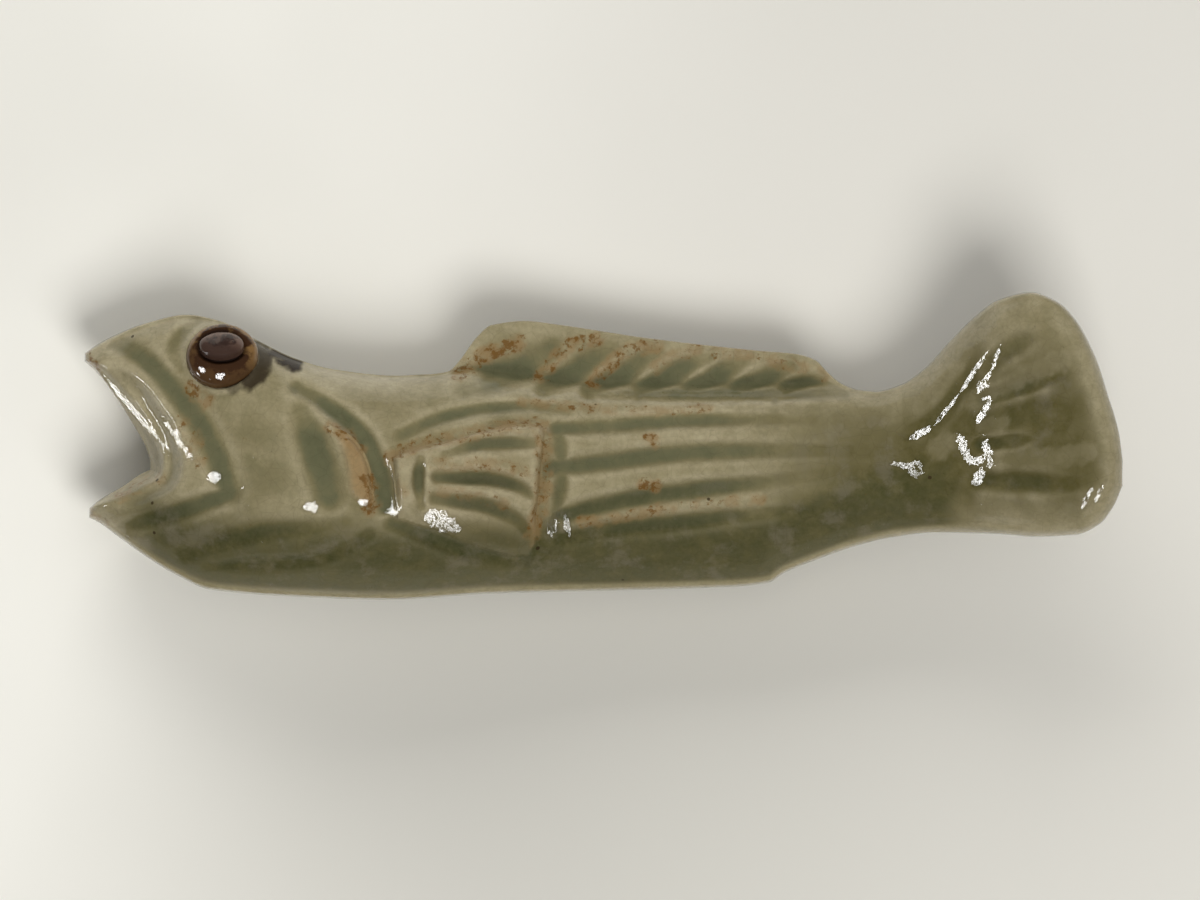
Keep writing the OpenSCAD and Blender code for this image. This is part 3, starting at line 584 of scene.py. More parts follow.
# Height map of the fish with its applied pieces, for where glaze pools and where it thins
chart = dict(
    step=0.15 * mm, blur=0.75 * mm, fineBlur=0.3 * mm, low=(-48 * mm, -17 * mm), high=(48 * mm, 17 * mm))
mapX, mapY = np.meshgrid(
    np.arange(chart["low"][0], chart["high"][0], chart["step"]),
    np.arange(chart["low"][1], chart["high"][1], chart["step"]), indexing="ij")
mapCap = edgeCap(mapX, mapY)
mapBase, mapPlain = plainTop(mapX, mapY, mapCap)
relief = bodyTop(mapX, mapY, mapCap)
for piece, lift in ((pectoral, pectoralRise), (gill, gillRise)):
    depth = insideBy(mapX, mapY, piece, mm) - meniscus["inset"]
    relief = np.where(depth > 0, mapBase + mapPlain + lift(mapX, mapY, depth), relief)
relief = np.where(within(mapX, mapY, fishRing), relief, mapBase)


def blurred(field, width):  # Gaussian blur, as a product over the frequencies
    fx = np.fft.fftfreq(field.shape[0], chart["step"])[:, None]
    fy = np.fft.rfftfreq(field.shape[1], chart["step"])[None, :]
    kept = np.exp(-2 * (np.pi * width) ** 2 * (fx**2 + fy**2))
    return np.fft.irfft2(np.fft.rfft2(field) * kept, field.shape)


hollowMap = blurred(relief, chart["blur"]) - relief  # positive in hollows, negative on ridges
fineMap = blurred(relief, chart["fineBlur"]) - relief


def read(field, x, y, edge=1.001):  # bilinear reading of a map, up to just short of its last row
    u = np.clip((x - chart["low"][0]) / chart["step"], 0, field.shape[0] - edge)
    v = np.clip((y - chart["low"][1]) / chart["step"], 0, field.shape[1] - edge)
    i, j = u.astype(int), v.astype(int)
    u, v = u - i, v - j
    return mix(mix(field[i, j], field[i + 1, j], u), mix(field[i, j + 1], field[i + 1, j + 1], u), v)


def settle(normals, points, places):
    # turns the glaze on upper faces towards halfway between tube and viewer, and back at its ragged edge
    x, y = points[:, 0], points[:, 1]
    ragged = sum(slowWaves(x, y, *wave) for wave in setting["waves"])
    upper = normals[:, 2] > setting["upward"]
    for s, t, along, across, turn, tube in places:
        towards, strength = ((tubes[0], 1), (tubes[1], 1), (viewer, setting["smoothed"]))[tube]
        shiftX, shiftY = setting["shift"]
        centre = place((s + shiftX * (1 - rising(s, *setting["shifted"])), t + shiftY))
        a = np.radians(turn)
        ways = np.stack((towards, viewer)) - (*centre, read(relief, *centre))
        halfway = (ways / np.linalg.norm(ways, axis=1, keepdims=True)).sum(axis=0)
        dx, dy = x - centre[0], y - centre[1]
        u = (dx * np.cos(a) + dy * np.sin(a)) / (along * mm)
        v = (dy * np.cos(a) - dx * np.sin(a)) / (across * mm)
        share = strength * upper * (1 - ease((np.hypot(u, v) + ragged - setting["full"]) / setting["easing"]))
        normals = mix(normals, halfway / np.linalg.norm(halfway), share[:, None])
    return normals / np.maximum(np.linalg.norm(normals, axis=1, keepdims=True), tiny)


def markAt(x, y, lines):  # full along the marked lines, easing to 0 over as much again as their half widths
    ragged = slowWaves(x, y, *marks["ragged"])
    away = [nearLine(x, y, smoothLine(line), 3 * half)[0] / half for half, _, line in lines]
    return np.max([line[1] * (1 - ease(gap - 1 + ragged)) for gap, line in zip(away, lines)], axis=0)


# Glaze over the whole fish. A pair is the span over which something comes up: in shares of the length or of
# the breadth, or in metres from an edge. The others are strengths, or the relief at which a mask is full
glazing = dict(
    reach=4.6 * mm,  # distances are measured up to this
    inland=(0, 1.6 * mm),  # in from the outline
    grooved=0.65,  # share of the grooves in the pools, where the rest is the map's
    hollow=0.22 * mm,
    ridged=0.6,  # share of the broad ridges in the thin glaze, where the rest is the fine ones'
    ridge=0.17 * mm,
    fineRidge=0.065 * mm,
    rimThin=0.7,
    tail=(0.58, 0.8),
    fan=(0.82, 0.87),
    # the lower side: up from the belly, and in pools of the lower half behind the gill plate
    belly=(-0.32, -0.15),
    snout=(0, 0.08),
    lowPools=0.8,
    upperHalf=(0.25, 0.55),
    flank=(0.25, 0.45),
    # olive, with its wavering edge on the tail
    oliveWaves=(5 * mm, 0.5 * mm),
    oliveRim=(0, 4 * mm),
    upperLobe=(0.68, 0.98),
    tip=(0.9, 1),
    lowerRim=(0.3 * mm, 0.8 * mm),
    # changes to the pools and to the thin glaze
    tailPool=0.8,
    lowerPool=0.6,
    lowerPoolRim=(0, mm),
    tailThin=0.7,
    lowerThin=0.15,
    finThin=0.55,
    finRoot=(0.72, 0.82),
    # pale rim along the outline: partly glaze thinned on the edge, partly a painted reflection of the table
    # on the rim wall
    rimPaleAndSheen=0.85,
    rimPaleAndSheenWidth=0.8 * mm,
    lipsPale=0.7,
    lips=(2 * mm, 3 * mm),
    # tan glaze on the gill plate and on the edge of the pectoral fin
    gillInner=(0.1 * mm, 1.1 * mm),
    gillEdge=(-0.15 * mm, 0.35 * mm),
    finEdging=(0, 0.9 * mm),
    finEdge=(0, 0.3 * mm),
    edgingTan=0.5,
    haloRim=(0, 0.25 * mm),
    lowerDull=0.6,
)


def glazeMasks(x, y, hollows):
    # pool, thin, rust, olive, tan, halo and dull at places on the table
    g, s, t = glazing, shareAlong(x), y / fish["breadth"] + 0.5
    hollow, fine = read(hollowMap, x, y), read(fineMap, x, y)
    fromRim = nearLine(x, y, fishRing, g["reach"])[0]
    inland = rising(fromRim, *g["inland"])
    pool = mix(np.maximum(hollow, 0) / g["hollow"], valley(x, y, hollows) / fish["grooveDepth"], g["grooved"])
    pool = np.maximum(clamp(pool) * inland, markAt(x, y, marks["damp"]))
    thin = mix(-fine / g["fineRidge"], -hollow / g["ridge"], g["ridged"])
    thin = clamp(thin * mix(g["rimThin"], 1, inland))
    rust = markAt(x, y, marks["rust"])
    tail, fan = rising(s, *g["tail"]), rising(s, *g["fan"])
    lower = rising(curve(outline["belly"], s) - t, *g["belly"]) * rising(s, *g["snout"]) * (1 - fan)
    lowPools = g["lowPools"] * pool * (1 - rising(t, *g["upperHalf"])) * rising(s, *g["flank"])
    lower = np.maximum(lower, lowPools)
    wavering = fromRim + fan * slowWaves(x, y, *g["oliveWaves"])
    olive = np.maximum(
        tail * rising(wavering, *g["oliveRim"]) * mix(1, 1 - rising(t, *g["upperLobe"]), fan),
        lower * (1 - rising(s, *g["tip"])) * rising(fromRim, *g["lowerRim"]))
    lowerPool = g["lowerPool"] * lower * rising(fromRim, *g["lowerPoolRim"])
    pool = np.maximum(pool * mix(1, g["tailPool"], tail), lowerPool)
    thin = thin * mix(1, g["tailThin"], tail) * mix(1, g["lowerThin"], lower)
    thin = thin * mix(1, g["finThin"], alongFin(s) * rising(t, *g["finRoot"]))
    # painted reflection, together with thin glaze: the outline's rim is made pale
    pale = g["rimPaleAndSheen"] - fromRim / g["rimPaleAndSheenWidth"]
    # the tail's grey patches are partly cloudy glaze and partly a painted sheen
    thin = np.maximum(thin, np.maximum(pale, markAt(x, y, marks["cloudedAndSheen"])))
    lips = 1 - rising(nearLine(x, y, mouthLine, g["reach"])[0], *g["lips"])
    thin = np.maximum(thin, g["lipsPale"] * lips * (1 - pool))
    across = nearLine(x, y, smoothLine(gill["low"]), g["reach"])[0]
    tan = rising(across, *g["gillInner"]) * rising(insideBy(x, y, gill, mm), *g["gillEdge"])
    finEdge = nearLine(x, y, smoothLine(pectoral["high"] + pectoral["low"][-1:]), mm)[0]
    edging = (1 - rising(finEdge, *g["finEdging"])) * rising(insideBy(x, y, pectoral, mm), *g["finEdge"])
    tan = np.maximum(tan, g["edgingTan"] * edging)
    halo = markAt(x, y, marks["halo"]) * rising(fromRim, *g["haloRim"])
    dull = np.maximum(halo, g["lowerDull"] * lower)
    return dict(pool=pool, thin=thin, rust=rust, olive=olive, tan=tan, halo=halo, dull=dull)


print("relief mapped")


def clayGrid(plan, tops, bases, cells):
    # points of the upper and lower face, and quads that turn left seen from outside:
    # the faces of each filled cell, and a wall wherever the next cell belongs to something else
    number = np.arange(plan.shape[0] * plan.shape[1]).reshape(plan.shape[:2])
    count = number.size
    same = np.abs(np.diff(plan, axis=1)).max(axis=2) < touching
    number[:, 1:][same] = -1
    number = np.maximum.accumulate(number, axis=1)
    points = np.concatenate([np.dstack((plan, z)).reshape(-1, 3) for z in (tops, bases)])
    a, b, c, d = number[:-1, :-1], number[1:, :-1], number[1:, 1:], number[:-1, 1:]
    around = np.pad(cells, 1, constant_values=-1)
    filled = cells >= 0
    faces, owner, hidden = [], [], []
    for corners in ((a, b, c, d), (d + count, c + count, b + count, a + count)):
        faces.append(np.stack(corners, -1)[filled])
        owner.append(cells[filled])
        hidden.append(np.zeros(filled.sum(), dtype=bool))
    walls = (
        (around[1:-1, :-2], a, b),
        (around[1:-1, 2:], c, d),
        (around[:-2, 1:-1], d, a),
        (around[2:, 1:-1], b, c))
    for beside, first, second in walls:
        wall = filled & (beside != cells)
        faces.append(np.stack((first + count, second + count, second, first), -1)[wall])
        owner.append(cells[wall])
        hidden.append(beside[wall] >= 0)
    return points, np.concatenate(faces), np.concatenate(owner), np.concatenate(hidden)


def faceNormals(points, faces):  # half the cross product of a quad's diagonals: its area as a vector
    p = points[faces]
    return np.cross(p[:, 2] - p[:, 0], p[:, 3] - p[:, 1]) / 2


def pointNormals(points, faces):  # sum of the area vectors round each point, made one long
    area = faceNormals(points, faces)
    total = np.stack([
        np.bincount(faces.ravel(), np.repeat(area[:, k], faces.shape[1]), len(points)) for k in range(3)], 1)
    return total / np.maximum(np.linalg.norm(total, axis=1, keepdims=True), tiny)


def addPiece(name, points, faces, masks, normals):
    # a mesh of quads, or triangles where a quad's corners coincide, with its masks and corner normals
    used, faces = np.unique(faces, return_inverse=True)
    faces = faces.reshape(-1, 4)
    keep = faces != np.roll(faces, -1, axis=1)
    good = keep.sum(axis=1) > 2
    faces, keep, normals = faces[good], keep[good], normals[good]
    sides = keep.sum(axis=1)
    mesh = bpy.data.meshes.new(name)
    mesh.vertices.add(len(used))
    mesh.vertices.foreach_set("co", points[used].astype(np.float32).ravel())
    mesh.loops.add(int(sides.sum()))
    mesh.loops.foreach_set("vertex_index", faces[keep].astype(np.int32))
    mesh.polygons.add(len(faces))
    mesh.polygons.foreach_set("loop_start", (np.cumsum(sides) - sides).astype(np.int32))
    mesh.polygons.foreach_set("use_smooth", np.ones(len(faces), dtype=bool))
    mesh.update(calc_edges=True)
    mesh.validate()
    for key, values in masks.items():
        layer = mesh.attributes.new(key, "FLOAT", "POINT")
        layer.data.foreach_set("value", np.ravel(values)[used].astype(np.float32))
    mesh.normals_split_custom_set(normals[keep])
    piece = bpy.data.objects.new(name, mesh)
    bpy.context.scene.collection.objects.link(piece)
    return piece


def crowded(n, part=0.3):
    # n steps from the outline inwards: squares over the first part, then even
    u = np.linspace(0, 1, n + 1)
    w = np.where(u < part, u * u, part * part + 2 * part * (u - part))
    return w / w[-1]


# The whole fish as one surface, parted into body, dorsal fin and tail
rows = dict(lower=60, upper=56, fin=30, gap=0.005, gapEnds=0.1)
lipGap = (outline["upperLip"][-1][1] - outline["lowerLip"][-1][1]) / 2
middle = mix(bellyEdge, backEdge, curve(outline["behindMouth"], span))
# half the gap between the lower rows and the upper ones: the lips' own, then soon a narrow strip
half = mix(lipGap, rows["gap"], ease((span - outline["mouth"]) / rows["gapEnds"]))
lowEnd = np.where(jaws, curve(outline["lowerLip"], span), middle - half)
highEnd = np.where(jaws, curve(outline["upperLip"], span), middle + half)
across = np.concatenate((
    mix(bellyEdge[:, None], lowEnd[:, None], crowded(rows["lower"])),
    mix(backEdge[:, None], highEnd[:, None], crowded(rows["upper"])[::-1]),
    mix(crestEdge[:, None], backEdge[:, None], crowded(rows["fin"])[::-1][1:])), axis=1)
lengthwise = np.repeat(span[:, None], across.shape[1], axis=1)
lengthwise[:, :rows["lower"] + 1] = lowerSpan[:, None]
plan = place(np.stack((lengthwise, across), -1))
between = (span[:-1] + span[1:]) / 2
cells = np.zeros((len(span) - 1, across.shape[1] - 1), dtype=int)
cells[between > outline["wrist"]] = 2
cells[between < outline["mouth"], rows["lower"]] = -1
finCells = (between > outline["fin"][0]) & (between < outline["fin"][1])
cells[:, -rows["fin"]:] = np.where(finCells, 1, -1)[:, None]

x, y = plan[..., 0], plan[..., 1]
cap = edgeCap(x, y)
tops = bodyTop(x, y, cap)
bases = plainBase(x, y, cap)
points, faces, owner, hidden = clayGrid(plan, tops, bases, cells)
print("fish surface of", len(faces), "faces")

upperMasks = glazeMasks(x, y, grooves)
# the underside takes the upper masks only at its rim
rimWidth = 1.5 * mm
rim = 1 - ease(nearLine(x, y, fishRing, rimWidth)[0] / rimWidth)
lowerMasks = {key: value * rim for key, value in upperMasks.items()}
lowerMasks["olive"] = upperMasks["olive"]
masks = {key: np.concatenate((upperMasks[key].ravel(), lowerMasks[key].ravel())) for key in upperMasks}
masks["foot"] = np.concatenate((np.zeros(tops.size), 1 - rising(bases.ravel(), *fish["footEdge"])))

shade = settle(pointNormals(points, faces[~hidden]), points, settled)
flat = faceNormals(points, faces)
flat /= np.maximum(np.linalg.norm(flat, axis=1, keepdims=True), tiny)
corners = np.where(hidden[:, None, None], flat[:, None, :], shade[faces])


def standsFor(piece, node):
    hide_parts(node)
    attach(piece, "root")
    return piece


def fromGrid(name, which, node):
    mine = owner == which
    return standsFor(addPiece(name, points, faces[mine], masks, corners[mine]), node)


fishBody = fromGrid("fishBody", 0, "fish_body")
dorsalFin = fromGrid("dorsalFin", 1, "dorsal_fin")
tailFin = fromGrid("tailFin", 2, "tail_fin")
print("fish body, dorsal fin and tail made")


def bothWays(n):  # n steps that crowd towards both ends
    return (1 - np.cos(np.linspace(0, np.pi, n + 1))) / 2


def sprig(name, piece, lift, node):
    # a patch between the piece's two edges: seated in the body below, and raised above it by its own relief
    low, high = (smoothLine(piece[key], piece["grid"][0] + 1) for key in ("low", "high"))
    plan = mix(low[:, None, :], high[:, None, :], bothWays(piece["grid"][1])[None, :, None])
    x, y = plan[..., 0], plan[..., 1]
    base, rise = plainTop(x, y, edgeCap(x, y))
    depth = insideBy(x, y, piece, mm)
    depth[[0, -1]] = depth[:, [0, -1]] = 0
    depth = depth - meniscus["inset"]
    tops = base + rise + lift(x, y, depth) + slowWaves(x, y, *fish["handmade"])
    bases = base + rise - piece["seat"]
    points, faces, _, _ = clayGrid(plan, tops, bases, np.zeros(piece["grid"], dtype=int))
    masks = {key: np.tile(value.ravel(), 2) for key, value in glazeMasks(x, y, piece["grooves"]).items()}
    masks["foot"] = np.zeros(len(points))
    shade = settle(pointNormals(points, faces), points, piece["settled"])
    return standsFor(addPiece(name, points, faces, masks, shade[faces]), node)


pectoralFin = sprig("pectoralFin", pectoral, pectoralRise, "pectoral_fin")
gillCover = sprig("gillCover", gill, gillRise, "gill_cover")
print("pectoral fin and gill plate made")


def turned(points, degrees):  # rotation about X; a negative angle leans the top towards the back of the fish
    a = np.radians(degrees)
    x, y, z = points.T
    return np.stack((x, y * np.cos(a) - z * np.sin(a), y * np.sin(a) + z * np.cos(a)), 1)


def pelletProfile(shape):
    # a round-shouldered dome from its crown to its side, then down and in under the base
    dome, down, inward = pressed["steps"]
    radius, depth = shape["radius"], shape["depth"]
    a = np.linspace(0, np.pi / 2, dome + 1)
    out, up = np.sin(a) ** pressed["shoulder"], np.cos(a) ** pressed["crown"]
    top = np.stack((radius * out, shape["rise"] * up), 1)
    top[0, 0] = 0
    side = np.stack((np.full(down, radius), np.linspace(0, -depth, down + 1)[1:]), 1)
    under = np.stack((np.linspace(radius, 0, inward + 1)[1:], np.full(inward, -depth)), 1)
    return np.concatenate((top, side, under))


eyeX, eyeY = place([eye["place"]]).T
eyeAt = np.array([eyeX[0], eyeY[0], sum(plainTop(eyeX, eyeY, edgeCap(eyeX, eyeY)))[0]])


def ontoEye(p):
    return turned(p, -eye["lean"]) + eyeAt


def ontoPupil(p):
    return ontoEye(turned(p + (0, 0, eye["rise"]), -pupil["lean"]))


def moat(p):  # 1 in the ring round the pupil, at points of the eyeball's own frame
    around = turned(p, pupil["lean"])
    radial = np.hypot(around[:, 0], around[:, 1] / pupil["squash"])
    return np.exp(-(((radial - pupil["radius"]) / eye["moatWidth"]) ** 2)) * (p[:, 2] > 0)


def raised(p, height):  # raises the domed side of a pellet
    return p + np.outer(height * (p[:, 2] > 0), (0, 0, 1))


def pellet(name, shape, sink, onto):
    # the profile turned round its axis, pressed a little out of true, sunk by its moat and leaned into place
    profile, turns = pelletProfile(shape), pressed["turns"]
    angle = np.linspace(0, 2 * np.pi, turns, endpoint=False)
    (oval, ovalAt), (triangular, triangularAt) = pressed["oval"], pressed["triangular"]
    outOfRound = 1 + oval * np.sin(2 * angle + ovalAt) + triangular * np.sin(3 * angle + triangularAt)
    r = np.outer(profile[:, 0], outOfRound)
    z = np.repeat(profile[:, 1][:, None], turns, axis=1)
    p = np.stack((r * np.cos(angle), shape["squash"] * r * np.sin(angle), z), -1).reshape(-1, 3)
    p = raised(p, slowWaves(p[:, 0], p[:, 1], *pressed["dents"]))
    for beadX, beadY, size, height in shape["beads"]:
        p = raised(p, height * np.exp(-((p[:, 0] - beadX) ** 2 + (p[:, 1] - beadY) ** 2) / size**2))
    low = moat(p) if sink else np.zeros(len(p))
    p = onto(p - np.outer(low * eye["moat"], (0, 0, 1)))
    number = np.arange(len(p)).reshape(z.shape)
    number[0], number[-1] = number[0, 0], number[-1, 0]
    a, b = number[:-1], number[1:]
    faces = np.stack((a, b, np.roll(b, -1, axis=1), np.roll(a, -1, axis=1)), -1).reshape(-1, 4)
    level, aside = pressed["run"]
    run = ease(level - (np.sin(angle) + aside * np.cos(angle)) * r / shape["radius"])
    masks = dict(rim=np.repeat(profile[:, 0] / shape["radius"], turns), hollow=low, run=run.ravel())
    shade = settle(pointNormals(p, faces), p, shape["settled"])
    return standsFor(addPiece(name, p, faces, masks, shade[faces]), name)


eyeball = pellet("eyeball", eye, True, ontoEye)
pupilPellet = pellet("pupil", pupil, False, ontoPupil)
print("eye made")


def put(tree, kind, inputs=None, **settings):
    # adds a node; an input is either a value or the output that it takes
    made = tree.nodes.new(kind)
    for key, value in settings.items():
        setattr(made, key, value)
    for key, value in (inputs or {}).items():
        if isinstance(value, bpy.types.NodeSocket):
            tree.links.new(value, made.inputs[key])
        else:
            made.inputs[key].default_value = value
    return made


def blend(tree, factor, a, b):  # colour a turned towards colour b
    return put(tree, "ShaderNodeMix", {0: factor, 6: a, 7: b}, data_type="RGBA").outputs[2]


def maths(tree, how, a, b):
    return put(tree, "ShaderNodeMath", {0: a, 1: b}, operation=how).outputs[0]


def ranged(tree, value, low, high, first=0.0, last=1.0):  # smooth step between two levels
    inputs = {0: value, 1: low, 2: high, 3: first, 4: last}
    return put(tree, "ShaderNodeMapRange", inputs, interpolation_type="SMOOTHSTEP").outputs[0]


def noise(tree, vector, scale, detail=2.0, rough=0.5):
    inputs = {"Vector": vector, "Scale": scale, "Detail": detail, "Roughness": rough}
    return put(tree, "ShaderNodeTexNoise", inputs).outputs[0]


def newGroup(name, inputs, outputs):
    tree = bpy.data.node_groups.new(name, "ShaderNodeTree")
    for socket, kind in inputs.items():
        tree.interface.new_socket(socket, in_out="INPUT", socket_type="NodeSocket" + kind)
    for socket, kind in outputs.items():
        tree.interface.new_socket(socket, in_out="OUTPUT", socket_type="NodeSocket" + kind)
    return tree, tree.nodes.new("NodeGroupInput").outputs, tree.nodes.new("NodeGroupOutput").inputs


tones = dict(
    beige=(0.32, 0.276, 0.158, 1),
    warm=(0.245, 0.208, 0.108, 1),
    pale=(0.46, 0.4, 0.255, 1),
    damp=(0.19, 0.165, 0.08, 1),
    green=(0.115, 0.118, 0.062, 1),
    deep=(0.062, 0.07, 0.032, 1),
    olive=(0.086, 0.073, 0.021, 1),
    moss=(0.05, 0.052, 0.018, 1),
    ash=(0.15, 0.132, 0.09, 1),
    grain=(0.14, 0.12, 0.065, 1),
    rust=(0.15, 0.07, 0.013, 1),
    stain=(0.26, 0.165, 0.07, 1),
    tan=(0.33, 0.225, 0.105, 1),
    iron=(0.035, 0.022, 0.01, 1),
    halo=(0.022, 0.014, 0.008, 1),
    clay=(0.33, 0.24, 0.15, 1),
    grog=(0.25, 0.17, 0.1, 1),
    moat=(0.012, 0.006, 0.004, 1),
)
surfaces = dict(glazeIndex=1.46, clayRoughness=0.8, eyeIndex=1.55, tableIndex=1.45, tableRoughness=0.42)

# Patterns in the glazes, the clay and the table: scale per metre, and where given detail and roughness
patterns = dict(
    cloud=(620.0, 4.0, 0.6),
    drift=(210.0, 3.0),
    mottle=(330.0, 5.0, 0.65),
    grain=(2600.0, 3.0, 0.6),
    stain=(900.0, 3.0),
    breaks=(1500.0, 5.0, 0.68),
    crackle=780.0,
    specks=420.0,
    ripple=(420.0,),
    peel=(1700.0, 3.0, 0.55),
    holes=1300.0,
    clay=(900.0, 4.0, 0.7),
    patch=(900.0, 4.0, 0.6),
    smudges=(14.0, 3.0),
)
# The levels between which each step comes up, and what it gives at both where that isn't 0 and 1
steps = dict(
    warm=(0.35, 0.65),
    mottled=(0.42, 0.7, 0.0, 0.7),
    cloudyPool=(0.25, 0.75, -0.15, 0.15),
    damp=(0.05, 0.5, 0.0, 0.8),
    green=(0.3, 0.95, 0.0, 0.85),
    olive=(0.2, 0.6, 0.75, 1.0),
    moss=(0.1, 0.9),
    ash=(0.5, 0.68, 0.0, 0.6),
    deep=(0.85, 1.25, 0.0, 0.5),
    thin=(0.3, 0.7, 0.35, 0.85),
    grain=(0.3, 0.7, 0.0, 0.22),
    stain=(0.35, 0.65, 0.0, 0.6),
    breaksDrift=(0.3, 0.7, -0.03, 0.03),
    rust=(0.68, 0.82, 0.0, 0.85),
    crackle=(0.0, 0.035, 0.12, 0.0),
    speckSize=(0.3, 0.7, 0.03, 0.08),
    speck=(0.0, 0.03, 0.85, 0.0),
    halo=(0.25, 0.5, 0.7, 1.0),
    rough=(0.3, 0.7, 0.05, 0.1),
    pit=(0.0, 0.16, -1.0, 0.0),
    clay=(0.4, 0.7),
    dull=(0.0, 0.8, 0.5, 0.1),
    patch=(0.35, 0.7, -0.35, 0.5),
    edge=(0.1, 0.7),
    ring=(0.0, 0.6, 0.35, 0.95),
    smudges=(0.35, 0.7, 0.0, 0.4),
    slant=(-0.07, 0.02),
    shade=(0.0, 0.045, 0.75, 0.0),
)

# Coat of the glaze: green where it pools, pale where it thins, rust where it breaks, olive at tail and belly
amounts = dict(olive=0.95, rustBreaks=0.18, speckled=0.72, oliveGloss=0.3)
coat, given, result = newGroup(
    "GlazeCoat",
    dict(Vector="Vector", Pool="Float", Thin="Float", Rust="Float", Olive="Float", Tan="Float", Halo="Float"),
    dict(Color="Color", Roughness="Float"))
at = given["Vector"]


def step(value, name):
    return ranged(coat, value, *steps[name])


cloud, drift, mottle, grain, stain, breaks = (
    noise(coat, at, *patterns[name]) for name in ("cloud", "drift", "mottle", "grain", "stain", "breaks"))
colour = blend(coat, step(drift, "warm"), tones["beige"], tones["warm"])
colour = blend(coat, step(mottle, "mottled"), colour, tones["damp"])
pooled = maths(coat, "ADD", given["Pool"], step(cloud, "cloudyPool"))
colour = blend(coat, step(pooled, "damp"), colour, tones["damp"])
colour = blend(coat, step(pooled, "green"), colour, tones["green"])
oliveShare = maths(coat, "MULTIPLY", given["Olive"], step(cloud, "olive"))
dark = blend(coat, step(pooled, "moss"), tones["olive"], tones["moss"])
dark = blend(coat, step(mottle, "ash"), dark, tones["ash"])
colour = blend(coat, maths(coat, "MULTIPLY", oliveShare, amounts["olive"]), colour, dark)
colour = blend(coat, step(pooled, "deep"), colour, tones["deep"])
colour = blend(coat, maths(coat, "MULTIPLY", given["Thin"], step(cloud, "thin")), colour, tones["pale"])
colour = blend(coat, given["Tan"], colour, tones["tan"])
colour = blend(coat, step(grain, "grain"), colour, tones["grain"])
colour = blend(coat, maths(coat, "MULTIPLY", given["Rust"], step(stain, "stain")), colour, tones["stain"])
breaks = maths(coat, "ADD", breaks, maths(coat, "MULTIPLY", given["Rust"], amounts["rustBreaks"]))
breaks = maths(coat, "ADD", breaks, step(drift, "breaksDrift"))
colour = blend(coat, step(breaks, "rust"), colour, tones["rust"])
crackle = put(
    coat, "ShaderNodeTexVoronoi", {"Vector": at, "Scale": patterns["crackle"]}, feature="DISTANCE_TO_EDGE")
colour = blend(coat, step(crackle.outputs["Distance"], "crackle"), colour, tones["iron"])
spot = put(coat, "ShaderNodeTexVoronoi", {"Vector": at, "Scale": patterns["specks"]}).outputs
chance = put(coat, "ShaderNodeSeparateColor", {0: spot["Color"]}).outputs[0]
chosen = maths(coat, "GREATER_THAN", chance, amounts["speckled"])
speckEdge = maths(coat, "SUBTRACT", spot["Distance"], step(cloud, "speckSize"))
colour = blend(coat, maths(coat, "MULTIPLY", chosen, step(speckEdge, "speck")), colour, tones["iron"])
colour = blend(coat, maths(coat, "MULTIPLY", given["Halo"], step(cloud, "halo")), colour, tones["halo"])
coat.links.new(colour, result["Color"])
glossier = maths(coat, "SUBTRACT", 1.0, maths(coat, "MULTIPLY", given["Olive"], amounts["oliveGloss"]))
coat.links.new(maths(coat, "MULTIPLY", step(cloud, "rough"), glossier), result["Roughness"])

# Skin of the glaze: slow ripple, orange peel and pin holes, as a bumped normal
bumps = dict(ripple=0.09 * mm, peel=0.02 * mm, hole=0.03 * mm)
skin, given, result = newGroup("GlazeSkin", dict(Vector="Vector", Pits="Float"), dict(Normal="Vector"))
at = given["Vector"]
hole = put(skin, "ShaderNodeTexVoronoi", {"Vector": at, "Scale": patterns["holes"]}).outputs["Distance"]
hole = maths(skin, "MULTIPLY", ranged(skin, hole, *steps["pit"]), given["Pits"])
ripple = put(skin, "ShaderNodeBump", {
    "Height": noise(skin, at, *patterns["ripple"]), "Distance": bumps["ripple"]})
peel = put(skin, "ShaderNodeBump", {
    "Height": noise(skin, at, *patterns["peel"]), "Distance": bumps["peel"], "Normal": ripple.outputs[0]})
pitted = put(skin, "ShaderNodeBump", {
    "Height": hole, "Distance": bumps["hole"], "Normal": peel.outputs[0]})
skin.links.new(pitted.outputs[0], result["Normal"])


def newMaterial(name):
    material = bpy.data.materials.new(name)
    material.use_nodes = True
    tree = material.node_tree
    tree.nodes.clear()
    return material, tree, put(tree, "ShaderNodeTexCoord").outputs["Object"]


def finishMaterial(tree, surface):
    tree.links.new(surface.outputs[0], tree.nodes.new("ShaderNodeOutputMaterial").inputs["Surface"])


def mask(tree, name):
    return put(tree, "ShaderNodeAttribute", attribute_name=name).outputs["Fac"]


def skinNormal(tree, at, pits):
    bump = put(tree, "ShaderNodeGroup", node_tree=skin)
    tree.links.new(at, bump.inputs["Vector"])
    bump.inputs["Pits"].default_value = pits
    return bump.outputs["Normal"]


def celadon(name, tint, amount, pits):
    # the shared coat and skin, turned towards a tint of its own; bare rough clay on the foot
    material, tree, at = newMaterial(name)
    shares = {key: mask(tree, key.lower()) for key in ("Pool", "Thin", "Rust", "Olive", "Tan", "Halo")}
    layer = put(tree, "ShaderNodeGroup", node_tree=coat)
    for key, value in {"Vector": at, **shares}.items():
        tree.links.new(value, layer.inputs[key])
    bare = mask(tree, "foot")
    grog = ranged(tree, noise(tree, at, *patterns["clay"]), *steps["clay"])
    clay = blend(tree, grog, tones["clay"], tones["grog"])
    rough = {0: bare, 2: layer.outputs["Roughness"], 3: surfaces["clayRoughness"]}
    finishMaterial(tree, put(tree, "ShaderNodeBsdfPrincipled", {
        "Base Color": blend(tree, bare, blend(tree, amount, layer.outputs["Color"], tint), clay),
        "Roughness": put(tree, "ShaderNodeMix", rough).outputs[0],
        "Specular IOR Level": ranged(tree, mask(tree, "dull"), *steps["dull"]),
        "Normal": skinNormal(tree, at, pits), "IOR": surfaces["glazeIndex"]}))
    return material


